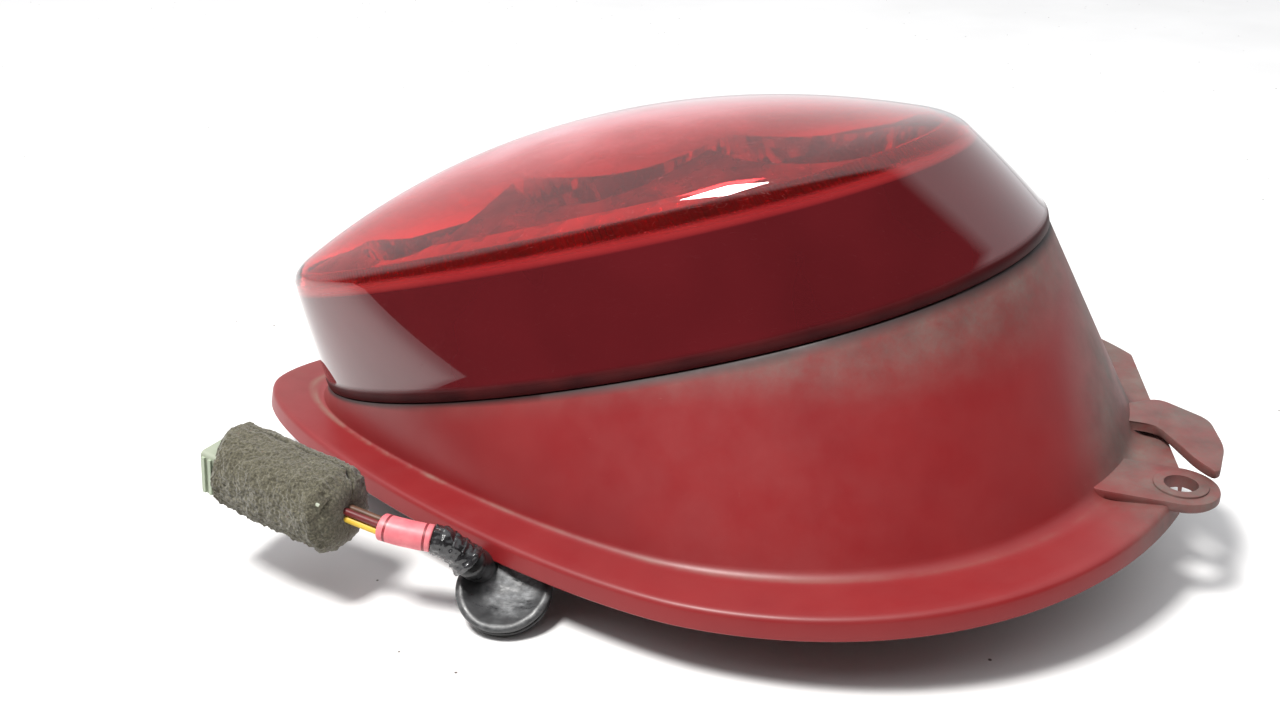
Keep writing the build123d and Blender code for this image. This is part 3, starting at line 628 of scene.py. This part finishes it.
def make_prisms():
    """Strip of fine upright ribs inside the lens, just under its rim"""
    ribs = 380
    count = ribs * 4

    def point(turn, share, inset):
        low = on_plane(foot_plane, foot_outline, turn, 0, inset)
        high = on_plane(rim_plane, rim_outline, turn, 0, inset)
        return low.lerp(high, share)

    def ribbed(share):
        return [
            point(turn, share, lens_wall + 0.0004 + 0.00055 * (step % 4 in (1, 2)))
            for step, turn in enumerate(turns(count))
        ]

    def plain(share):
        return ring(lambda turn: point(turn, share, lens_wall + 0.0022), count)

    mesh = ring_mesh("rim_prisms", [ribbed(0.80), ribbed(0.955), plain(0.955), plain(0.80)], True, False)
    prisms = piece("rim_prisms", mesh)
    prisms.data.materials.append(prism_material())


def panel_height(x):
    return 0.036 * x + 0.0073 * (x / 0.151) ** 2


def flange_point(turn, inset, height):
    """Point of the flange at an inset from its edge and a height over the panel"""
    x, y = egg(flange_outline, turn, inset)
    return Vector((x, y, panel_height(x) + height))


def lip_inset(turn, height):
    """How far the leaning lip is in from the flange's edge at a height"""
    x, _ = egg(flange_outline, turn)
    return 0.00013 + 0.0016 * (x / 0.151) ** 2 + 0.22 * height


def wall_point(turn, share, inset):
    low = on_plane(crease_plane, flange_outline, turn, 0, crease_inset + inset)
    high = on_plane(foot_plane, foot_outline, turn, ledge_level, inset)
    return low.lerp(high, share)


def wall_start(turn, inset, height):
    """Share of the wall at which it rises out of the flange"""
    low, high = 0.0, 0.6
    for _ in range(30):
        middle = (low + high) / 2
        point = wall_point(turn, middle, inset)
        if point.z < panel_height(point.x) + height:
            low = middle
        else:
            high = middle
    return high


def make_pod():
    """Painted cover: rolled flange, crease, wall and ledge in one closed loop, then the ears"""
    count = 320
    lip_round = 0.0016
    inner_height = flange_depth - cover_wall

    def lip(inset, height):
        return ring(lambda turn: flange_point(turn, lip_inset(turn, height) + inset, height), count)

    def flat(inset):
        return ring(lambda turn: flange_point(turn, inset, flange_depth), count)

    def crease(share):
        def point(turn):
            start = wall_start(turn, 0.0, flange_depth)
            corner = wall_point(turn, start, 0.0)
            wall = wall_point(turn, start + 0.05, 0.0)
            outside = flange_point(turn, crease_inset - 0.0022, flange_depth)
            outside.z = panel_height(outside.x) + flange_depth
            return bend(outside, corner, wall, share)
        return ring(point, count)

    def wall(share, inset, height, gap):
        def point(turn):
            start = wall_start(turn, inset, height) + gap
            return wall_point(turn, start + (1 - start) * share, inset)
        return ring(point, count)

    def ledge(inset, height):
        return ring(lambda turn: on_plane(foot_plane, foot_outline, turn, height, inset), count)

    rings = [lip(0.0005, 0.0), lip(0.0, 0.0005), lip(0.0, flange_depth - lip_round)]
    for angle in (25, 45, 65, 90):
        turned = math.radians(angle)
        drop = lip_round * (1 - math.sin(turned))
        rings.append(lip(lip_round * (1 - math.cos(turned)), flange_depth - drop))
    rings += [flat(inset) for inset in (0.006, 0.010, 0.0135)]
    rings += [crease(step / 6) for step in range(7)]
    rings += [wall(share, 0.0, flange_depth, 0.05) for share in [step / 16 for step in range(1, 16)]]
    rings.append(ring(lambda turn: wall_point(turn, 0.992, 0.0), count))
    rings += [ledge(0.0005, ledge_level), ledge(ledge_width, ledge_level)]
    rings.append(ledge(ledge_width, ledge_level - ledge_thickness))
    rings += [ring(lambda turn: wall_point(turn, 0.91, cover_wall), count)]
    rings += [wall(1 - share, cover_wall, inner_height, 0.02) for share in (0.3, 0.5, 0.7, 0.9, 1.0)]
    rings += [ring(lambda turn: flange_point(turn, 0.012, inner_height), count)]
    rings += [lip(cover_wall, inner_height), lip(cover_wall, 0.0)]
    mesh = ring_mesh("pod", rings, True)
    pod = piece("pod", mesh)
    cutter = block("tip_cutter", (tip_cut, -0.2, -0.1), (0.3, 0.2, 0.2))
    combine(pod, cutter, "DIFFERENCE")
    for ear in (make_ear(), make_wing()):
        combine(pod, ear, "UNION")
    combine(pod, disc("ear_hole", ear_centre, ear_hole_radius, -0.02, 0.06, 48), "DIFFERENCE")
    pod.data.shade_smooth()
    pod.data.set_sharp_from_angle(angle=math.radians(38))
    attribute(pod.data, "dust", [dust_on(vertex.co) for vertex in pod.data.vertices])
    attribute(pod.data, "crease", [crease_on(vertex.co) for vertex in pod.data.vertices])
    attribute(pod.data, "gap", [gap_shade_on(vertex.co) for vertex in pod.data.vertices])
    pod.data.materials.clear()
    pod.data.materials.append(paint_material())
    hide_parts("pod_cover")
    return pod


def dust_on(point):
    """Share of settled dust: under the lens's lip, on the blunt end and on the ears"""
    below = -(foot_plane.inverted() @ point).z
    spread = 0.013 + 0.022 * smoothstep(-0.02, 0.10, point.x)
    under_lip = (1 - smoothstep(0.0, spread, below)) * (0.30 + 0.70 * smoothstep(-0.05, 0.05, point.x))
    blunt_end = smoothstep(0.085, 0.125, point.x + 0.35 * (0.02 + point.y))
    far_side = 0.3 * smoothstep(0.0, 0.08, point.y)
    return min(max(under_lip * 1.15, blunt_end * 1.1, far_side, 0.05), 1.0)


def gap_shade_on(point):
    """Share of painted shade in the gap between the wall's top and the lens's lip, where the ledge is
    coloured near black
    """
    local = foot_plane.inverted() @ point
    along = local.x / foot_outline["half_length"]
    across = local.y / (foot_outline["half_width"] * (1 + foot_outline["taper"] * max(min(along, 1), -1)))
    inside = abs(along) ** foot_outline["fullness"] + abs(across) ** foot_outline["fullness"] < 1.06
    return smoothstep(-0.0052, -0.0040, local.z) if inside else 0.0


def crease_on(point):
    """Share of the dirt line where the wall meets the flange"""
    reach = point.x / flange_outline["half_length"]
    width = flange_outline["half_width"] * (1 + flange_outline["taper"] * reach)
    power = flange_outline["fullness"]
    level = (abs(reach) ** power + abs(point.y / max(width, 1e-6)) ** power) ** (1 / power)
    inset = (1 - level) * math.hypot(point.x, point.y) / max(level, 1e-6)
    lift = point.z - panel_height(point.x) - flange_depth
    near = 1 - smoothstep(0.0002, 0.0016, abs(inset - crease_inset * 1.02))
    thinning = 1 - 0.75 * smoothstep(-0.01, 0.07, point.x)
    return near * thinning * (1 - smoothstep(0.0002, 0.0012, abs(lift)))


def block(name, low, high):
    mesh = bpy.data.meshes.new(name)
    corners = [(x, y, z) for x in (low[0], high[0]) for y in (low[1], high[1]) for z in (low[2], high[2])]
    faces = [(0, 1, 3, 2), (4, 6, 7, 5), (0, 4, 5, 1), (2, 3, 7, 6), (0, 2, 6, 4), (1, 5, 7, 3)]
    mesh.from_pydata(corners, [], faces)
    turn_outwards(mesh)
    made = bpy.data.objects.new(name, mesh)
    bpy.context.scene.collection.objects.link(made)
    return made


def plate(name, outline, low, high, edge):
    """Flat plate with rounded top and bottom edges"""
    count = len(outline)
    middle = sum((Vector(point) for point in outline), Vector((0, 0))) / count

    def level(inset, height):
        ring_points = []
        for point in outline:
            towards = (middle - Vector(point)).normalized()
            moved = Vector(point) + towards * inset
            ring_points.append(Vector((moved.x, moved.y, height)))
        return ring_points

    rings = [level(edge, low), level(0.0, low + edge), level(0.0, high - edge)]
    rings += [level(0.3 * edge, high - 0.3 * edge), level(edge, high)]
    made = bpy.data.objects.new(name, ring_mesh(name, rings))
    bpy.context.scene.collection.objects.link(made)
    return made


def disc(name, centre, radius, low, high, count):
    outline = [centre + Vector((math.cos(turn), math.sin(turn))) * radius for turn in turns(count)]
    return plate(name, outline, low, high, 0.0003)


def combine(target, tool, operation):
    """Boolean of two closed meshes, applied, after which the tool is gone"""
    modifier = target.modifiers.new(operation, "BOOLEAN")
    modifier.operation = operation
    modifier.object = tool
    modifier.solver = "EXACT"
    bpy.context.view_layer.update()
    evaluated = target.evaluated_get(bpy.context.evaluated_depsgraph_get())
    mesh = bpy.data.meshes.new_from_object(evaluated)
    target.modifiers.clear()
    target.data = mesh
    bpy.data.objects.remove(tool)


def rounded(corners, radius, steps):
    """Outline with each corner rounded by a quadratic curve"""
    points = []
    for before, corner, after in zip(corners[-1:] + corners[:-1], corners, corners[1:] + corners[:1]):
        start = corner + (before - corner).normalized() * min(radius, (before - corner).length * 0.45)
        end = corner + (after - corner).normalized() * min(radius, (after - corner).length * 0.45)
        points += [bend(start, corner, end, step / steps) for step in range(steps + 1)]
    return points


def make_ear():
    """Screw ear: two discs joined by tangents, with a raised rim round the hole"""
    root = ear_centre + Vector((-1.8 * ear_radius, 0.4 * ear_radius))
    direction = (ear_centre - root).normalized()
    facing = math.atan2(direction.y, direction.x)
    outline = []
    for centre, start in ((ear_centre, facing - math.pi / 2), (root, facing + math.pi / 2)):
        for step in range(25):
            turn = start + math.pi * step / 24
            outline.append((centre.x + ear_radius * math.cos(turn), centre.y + ear_radius * math.sin(turn)))
    ear = plate("ear", outline, ear_top - ear_thickness, ear_top, 0.0006)
    combine(ear, disc("ear_rim", ear_centre, 0.0074, ear_top - 0.001, ear_top + 0.0006, 48), "UNION")
    return ear


def make_wing():
    outline = rounded([Vector(corner) for corner in wing_corners], 0.004, 6)
    return plate("wing", outline, wing_top - wing_thickness, wing_top, 0.0006)


def make_reflector():
    """Chromed block with three faceted bowls"""
    count = 160
    def side(turn, share):
        low = on_plane(foot_plane, foot_outline, turn, reflector_floor, reflector_inset)
        high = on_plane(rim_plane, rim_outline, turn, -reflector_rim_drop, reflector_rim_inset)
        return low.lerp(high, share)

    levels = [ring(lambda turn, s=share: side(turn, s), count) for share in (0.0, 0.5, 1.0)]
    for share in (0.9, 0.75, 0.6, 0.45, 0.3, 0.15, 0.03):
        levels.append(ring(
            lambda turn, s=share: on_plane(rim_plane, rim_outline, turn, 0.62 * dome_height * (1 - s * s)
                                           - reflector_rim_drop, reflector_rim_inset, s),
            count,
        ))
    reflector = piece("reflector_bowls", ring_mesh("reflector_bowls", levels, False, False))
    bowl_top = (foot_plane.inverted() @ rim_plane.translation).z
    sectors = 26
    for place, mouth in zip(bowl_places, bowl_radii):
        knee = bowl_floor + bowl_opening * (bowl_top - bowl_floor) / (mouth + bowl_opening)
        start, corner, end = (Vector(pair) for pair in (
            (bowl_opening, bowl_floor), ((bowl_opening + mouth) / 2, knee), (mouth, bowl_top)))
        profile = [Vector((bowl_opening, bowl_floor - 0.01))]
        profile += [bend(start, corner, end, step / 5) for step in range(6)]
        profile.append(Vector((mouth * 1.12, bowl_top * 1.7)))
        rings = [
            [
                foot_plane @ Vector((place + radius * math.cos(turn), radius * math.sin(turn), height))
                for turn in turns(sectors)
            ]
            for radius, height in profile
        ]
        cutter = bpy.data.objects.new("bowl_cutter", ring_mesh("bowl_cutter", rings, False, False))
        bpy.context.scene.collection.objects.link(cutter)
        combine(reflector, cutter, "DIFFERENCE")
    reflector.data.materials.clear()
    reflector.data.materials.append(chrome_material())
    deck = rim_plane.to_3x3().col[2]
    dull = metal_material("reflector_deck", (0.16, 0.14, 0.14), (0.55, 0.52, 0.50), 0.22, 260)
    reflector.data.materials.append(dull)
    for face in reflector.data.polygons:
        face.material_index = 1 if face.normal.dot(deck) > 0.85 else 0
    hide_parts("reflector")


def make_boot():
    """Dished rubber grommet with a groove round it and two snouts"""
    side = Vector((1, 0, 0))
    up = boot_axis.cross(side)
    dish = [(0.0112 * step / 8, -0.0022 * (1 - (step / 8) ** 2)) for step in range(1, 9)]
    rim = [(0.0118, 0.00015), (0.0127, 0.0001), (0.0133, -0.0003), (0.0135, -0.0009), (0.0133, -0.0015),
           (0.0126, -0.0018), (0.0118, -0.0020), (0.0116, -0.0024), (0.0117, -0.0030), (0.0124, -0.0033),
           (0.0129, -0.0035), (0.0130, -0.0043), (0.0127, -0.0049), (0.0110, -0.0050)]
    count = 120
    rings = []
    for radius, height in dish + rim:
        row = []
        for turn in turns(count):
            point = boot_face + boot_axis * height + (side * math.cos(turn) + up * math.sin(turn)) * radius
            row.append(point + boot_axis * 0.0003 * noise.noise(point * 260))
        rings.append(row)
    mesh = ring_mesh("boot", rings)
    editor = bmesh.new()
    editor.from_mesh(mesh)
    for start, end, foot_radius, end_radius in boot_snouts:
        line = [Vector(start), Vector(end)]
        length = (line[1] - line[0]).length
        snout = ring_mesh("snout", sweep_rings(
            line, 0.0, length, 12, 48,
            lambda share, turn, centre, a=foot_radius, b=end_radius: (a + (b - a) * share) * (
                1 + 0.03 * math.cos(9 * share * math.pi)) * (1 - 0.12 * smoothstep(0.9, 1.0, share))))
        editor.from_mesh(snout)
    editor.to_mesh(mesh)
    editor.free()
    mesh.shade_smooth()
    dust = []
    for vertex in mesh.vertices:
        away = vertex.co - boot_face
        height = away.dot(boot_axis)
        radius = (away - boot_axis * height).length
        middle = away - Vector((0.0022, 0, -0.0012))
        in_dish = (1 - smoothstep(0.0045, 0.0100, middle.length)) * smoothstep(-0.0034, -0.0024, height)
        # Painted highlight: a paler ring along the top of the rim, carried in the dust attribute
        rim_highlight = 0.35 * smoothstep(0.0112, 0.0122, radius) * smoothstep(-0.0010, -0.0002, height)
        dust.append(max(in_dish, rim_highlight, 0.08))
    attribute(mesh, "dust", dust)
    boot = piece("boot", mesh)
    boot.data.materials.append(boot_material())
    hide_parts("panel_boot")
    return boot


def make_tape(line):
    """Crumpled tape, wound over the end of the boot's snout and the start of the wires"""
    end = distance_at(line, tape_reach)

    def radius(share, turn, centre):
        wound = (share * 4.5 + turn / tau) % 1.0
        flare = 0.0010 * (1 - smoothstep(0.0, 0.35, share))
        crumple = 0.00045 * noise.noise(Vector((math.cos(turn) * 3, math.sin(turn) * 3, share * 9)))
        return 0.0040 + flare + 0.00035 * wound + crumple

    tape = piece("tape_wrapping", ring_mesh("tape_wrapping", sweep_rings(line, -0.0009, end, 70, 72, radius)))
    tape.data.materials.append(tape_material())
    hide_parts("tape_wrap")
    return tape


def make_sleeve(line):
    """Pink marker sleeve with an open end and two printed rings"""
    start, end = (distance_at(line, x) for x in sleeve_reach)
    count = 64
    steps = 60

    def outer(share, turn, centre):
        edge = min(share, 1 - share)
        oval = 1 + 0.035 * math.cos(2 * turn + 0.5) + 0.012 * noise.noise(centre * 300)
        return 0.0039 * oval - 0.00025 * (1 - smoothstep(0.0, 0.02, edge))

    rings = sweep_rings(line, start, end, steps, count, outer)
    rings += sweep_rings(line, end, start, 8, count, lambda share, turn, centre: 0.0032)
    mesh = ring_mesh("marker_tube", rings, True)
    mesh.materials.append(sleeve_material("pink_sleeve", (0.62, 0.13, 0.16), (0.76, 0.21, 0.23)))
    mesh.materials.append(sleeve_material("sleeve_print", (0.16, 0.012, 0.02), (0.26, 0.03, 0.04)))
    for index, face in enumerate(mesh.polygons):
        row = index // count
        face.material_index = 1 if row in (6, 7, 8, 50, 51, 52) else 0
    sleeve = piece("marker_tube", mesh)
    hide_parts("marker_sleeve")
    return sleeve


def make_foam():
    """Foam wrapped round the connector: rough skin, soft edges, a glued seam, and closed round the wires"""
    across = Vector((connector_axis.y, -connector_axis.x, 0)).normalized()
    up = across.cross(connector_axis)
    if up.z < 0:
        up = -up
    count = 300
    seam_turn = math.radians(68)
    rough = 0.00042

    def section(half_width, half_height, fullness, turn):
        cosine, sine = math.cos(turn), math.sin(turn)
        power = 2 / fullness
        return (math.copysign(abs(cosine) ** power, cosine) * half_width,
                math.copysign(abs(sine) ** power, sine) * half_height)

    profile = [(0.0012, 0.0097, 0.0073, 8.0), (foam_length * 0.5, 0.0097, 0.0073, 8.0),
               (foam_length - 0.0006, 0.0097, 0.0073, 8.0)]
    for step in range(150):
        along = foam_length * (1 - step / 149)
        edge = min(along, foam_length - along)
        shrink = 0.0026 * (1 - smoothstep(0.0, 0.0036, edge)) ** 2
        profile.append((along, 0.0122 - shrink, 0.0107 - shrink, 2.5))
    profile += [(-0.0010, 0.0070, 0.0062, 2.3), (-0.0014, 0.0045, 0.0042, 2.0)]
    profile.append((-0.0010, 0.0024, 0.0024, 2.0))
    rings, seams = [], []
    for along, half_width, half_height, fullness in profile:
        row = []
        for turn in turns(count):
            x, y = section(half_width, half_height, fullness, turn)
            reach = along / foam_length
            slant = 0.0022 * (1 - smoothstep(0.0, 0.5, reach)) * y / 0.0107
            cut = 0.0050 * smoothstep(0.75, 1.0, reach) * smoothstep(-0.2, 0.9, -x / 0.0122)
            on_skin = fullness < 4
            lengthwise = along + slant * on_skin - cut
            point = connector_foot + connector_axis * lengthwise + across * x + up * y
            outward = (across * x + up * y).normalized()
            fuzz = noise.noise(point * 1500) * rough + noise.noise(point * 420) * 0.0005
            fuzz += noise.noise(point * 90) * 0.0008
            ragged = 0.0007 * noise.noise(point * 650) * smoothstep(0.2, 0.9, -y / 0.0107)
            gap = math.exp(-((turn - seam_turn) / 0.045) ** 2)
            if on_skin:
                ripple = noise.noise(point * 700) * 0.0004
                point += outward * (fuzz + ragged - 0.0009 * gap) + connector_axis * ripple
            row.append(point)
            seams.append(gap if on_skin and along > 0 else 0.0)
        rings.append(row)
    mesh = ring_mesh("connector_foam", rings)
    attribute(mesh, "seam", seams)
    foam = piece("connector_foam", mesh)
    foam.data.materials.append(foam_material())
    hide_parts("foam_wrap")
    return foam


def make_ribs():
    """Four upright ribs on the side of the connector's end, where the foam stops short"""
    across = Vector((connector_axis.y, -connector_axis.x, 0)).normalized()
    up = across.cross(connector_axis)
    up = up if up.z > 0 else -up
    editor = bmesh.new()
    for step in range(4):
        middle = connector_foot + connector_axis * (0.0352 + 0.0023 * step) - across * 0.0096
        corners = [
            [middle + connector_axis * along + across * depth + up * height
             for along, depth in ((-0.0005, 0.0006), (0.0005, 0.0006), (0.0005, -0.0006), (-0.0005, -0.0006))]
            for height in (-0.0058, 0.0058)
        ]
        editor.from_mesh(ring_mesh("rib", corners, False, False))
    mesh = bpy.data.meshes.new("connector_ribs")
    editor.to_mesh(mesh)
    editor.free()
    ribs = piece("connector_ribs", mesh)
    ribs.data.materials.append(plastic_material("rib_nylon", (0.30, 0.36, 0.26), (0.48, 0.53, 0.41), 0.45))
    return ribs


def make_cords():
    """Trunk inside the pod, and the pigtail's four wires"""
    tones = {
        "yellow": ((0.58, 0.36, 0.03), (0.74, 0.50, 0.06)),
        "maroon": ((0.10, 0.012, 0.014), (0.17, 0.022, 0.022)),
        "brown": ((0.07, 0.030, 0.018), (0.13, 0.060, 0.032)),
        "black": ((0.010, 0.010, 0.011), (0.030, 0.030, 0.032)),
    }
    trunk = piece("trunk_cable", spline_curve("trunk_cable", trunk_route, trunk_radius))
    jacket = plastic_material("black_cable", (0.010, 0.010, 0.011), (0.032, 0.032, 0.034), 0.35)
    trunk.data.materials.append(jacket)
    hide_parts("harness_trunk")
    for name, turn in wire_turns.items():
        route = wire_route(turn)
        wire = piece(f"{name}_wire", spline_curve(f"{name}_wire", route, wire_radius))
        dark, light = tones[name]
        wire.data.materials.append(sleeve_material(f"{name}_insulation", dark, light))
        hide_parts(f"wire_{name}")


def dress_cad_nodes():
    """Materials for the CAD nodes that stay as they are"""
    black = plastic_material("black_plastic", (0.012, 0.012, 0.013), (0.035, 0.034, 0.034), 0.42)
    rubber = plastic_material("black_rubber", (0.008, 0.008, 0.008), (0.026, 0.026, 0.027), 0.6, 400)
    gasket = plastic_material("gasket_foam", (0.015, 0.015, 0.016), (0.060, 0.058, 0.056), 0.9, 700)
    zinc = metal_material("zinc_steel", (0.46, 0.45, 0.40), (0.66, 0.64, 0.56), 0.28)
    brass = metal_material("brass", (0.60, 0.44, 0.20), (0.80, 0.62, 0.32), 0.25)
    nylon = plastic_material("connector_nylon", (0.26, 0.29, 0.22), (0.42, 0.45, 0.36), 0.45)
    wires = plastic_material("branch_conduit", (0.010, 0.010, 0.011), (0.030, 0.030, 0.031), 0.4, 500)
    tungsten = metal_material("tungsten", (0.30, 0.30, 0.31), (0.5, 0.5, 0.5), 0.4)
    looks = {
        "lamp_housing": black, "lens_seal": rubber, "vent_cap": rubber, "flange_gasket": gasket,
        "mounting_studs": zinc, "cover_screws": zinc, "harness_breakout": rubber, "harness_clip": black,
        "connector_housing": nylon, "connector_terminals": brass,
    }
    for side in ("left", "middle", "right"):
        looks[f"branch_{side}"] = wires
        looks[f"bulb_holder_{side}"] = black
        looks[f"holder_seal_{side}"] = rubber
        looks[f"holder_contact_{side}"] = brass
        looks[f"bulb_cap_{side}"] = brass
        looks[f"bulb_glass_{side}"] = glass_material()
        looks[f"bulb_filament_{side}"] = tungsten
    for name, material in looks.items():
        mesh = nodes[name].data
        mesh.materials.clear()
        mesh.materials.append(material)
        if not name.startswith(("branch", "bulb_glass", "bulb_filament")):
            edge = nodes[name].modifiers.new("soft_edges", "BEVEL")
            edge.width = 0.0003
            edge.segments = 2
            edge.limit_method = "ANGLE"
            edge.angle_limit = math.radians(40)
            edge.use_clamp_overlap = True


def make_stage():
    """White table, one soft light from above, and a room that is bright behind and dim in front"""
    level = cad_box[0].z
    mesh = bpy.data.meshes.new("table")
    reach = 3.0
    corners = [(-reach, -reach, level), (reach, -reach, level), (reach, reach, level), (-reach, reach, level)]
    mesh.from_pydata(corners, [], [(0, 1, 2, 3)])
    table = bpy.data.objects.new("table", mesh)
    bpy.context.scene.collection.objects.link(table)
    table.data.materials.append(floor_material())
    centre = Vector((-0.01, -0.02, 0.03))
    direction = Vector((-0.281, -0.311, 0.908))
    light = bpy.data.objects.new("key", bpy.data.lights.new("key", "AREA"))
    bpy.context.scene.collection.objects.link(light)
    light.data.size = 0.30
    light.data.energy = 24.0
    light.data.color = (1.0, 0.985, 0.96)
    light.location = centre + direction.normalized() * 1.3
    light.rotation_mode = "QUATERNION"
    light.rotation_quaternion = (-direction).to_track_quat("-Z", "Y")
    world = bpy.data.worlds.new("room")
    bpy.context.scene.world = world
    world.use_nodes = True
    tree = world.node_tree
    place = tree.nodes.new("ShaderNodeTexCoord")
    split = tree.nodes.new("ShaderNodeSeparateXYZ")
    tree.links.new(place.outputs["Generated"], split.inputs[0])
    back = tree.nodes.new("ShaderNodeMath")
    back.operation = "MULTIPLY_ADD"
    tree.links.new(split.outputs["Z"], back.inputs[0])
    back.inputs[1].default_value = 0.9
    tree.links.new(split.outputs["Y"], back.inputs[2])
    left = tree.nodes.new("ShaderNodeMath")
    left.operation = "MULTIPLY_ADD"
    tree.links.new(split.outputs["X"], left.inputs[0])
    left.inputs[1].default_value = -0.25
    tree.links.new(back.outputs[0], left.inputs[2])
    ramp = tree.nodes.new("ShaderNodeValToRGB")
    ramp.color_ramp.elements[0].position = 0.10
    ramp.color_ramp.elements[0].color = (0.085, 0.070, 0.065, 1)
    ramp.color_ramp.elements[1].position = 0.26
    ramp.color_ramp.elements[1].color = (0.95, 0.96, 0.98, 1)
    tree.links.new(left.outputs[0], ramp.inputs["Fac"])
    background = tree.nodes["Background"]
    background.inputs["Strength"].default_value = 1.0
    tree.links.new(ramp.outputs["Color"], background.inputs["Color"])
    bpy.context.scene.view_settings.view_transform = "Standard"


make_camera()
pigtail = centreline(pigtail_route)
boot = make_boot()
tape = make_tape(pigtail)
sleeve = make_sleeve(pigtail)
foam = make_foam()
ribs = make_ribs()
make_cords()
make_lens()
make_prisms()
make_pod()
make_reflector()
dress_cad_nodes()
make_stage()
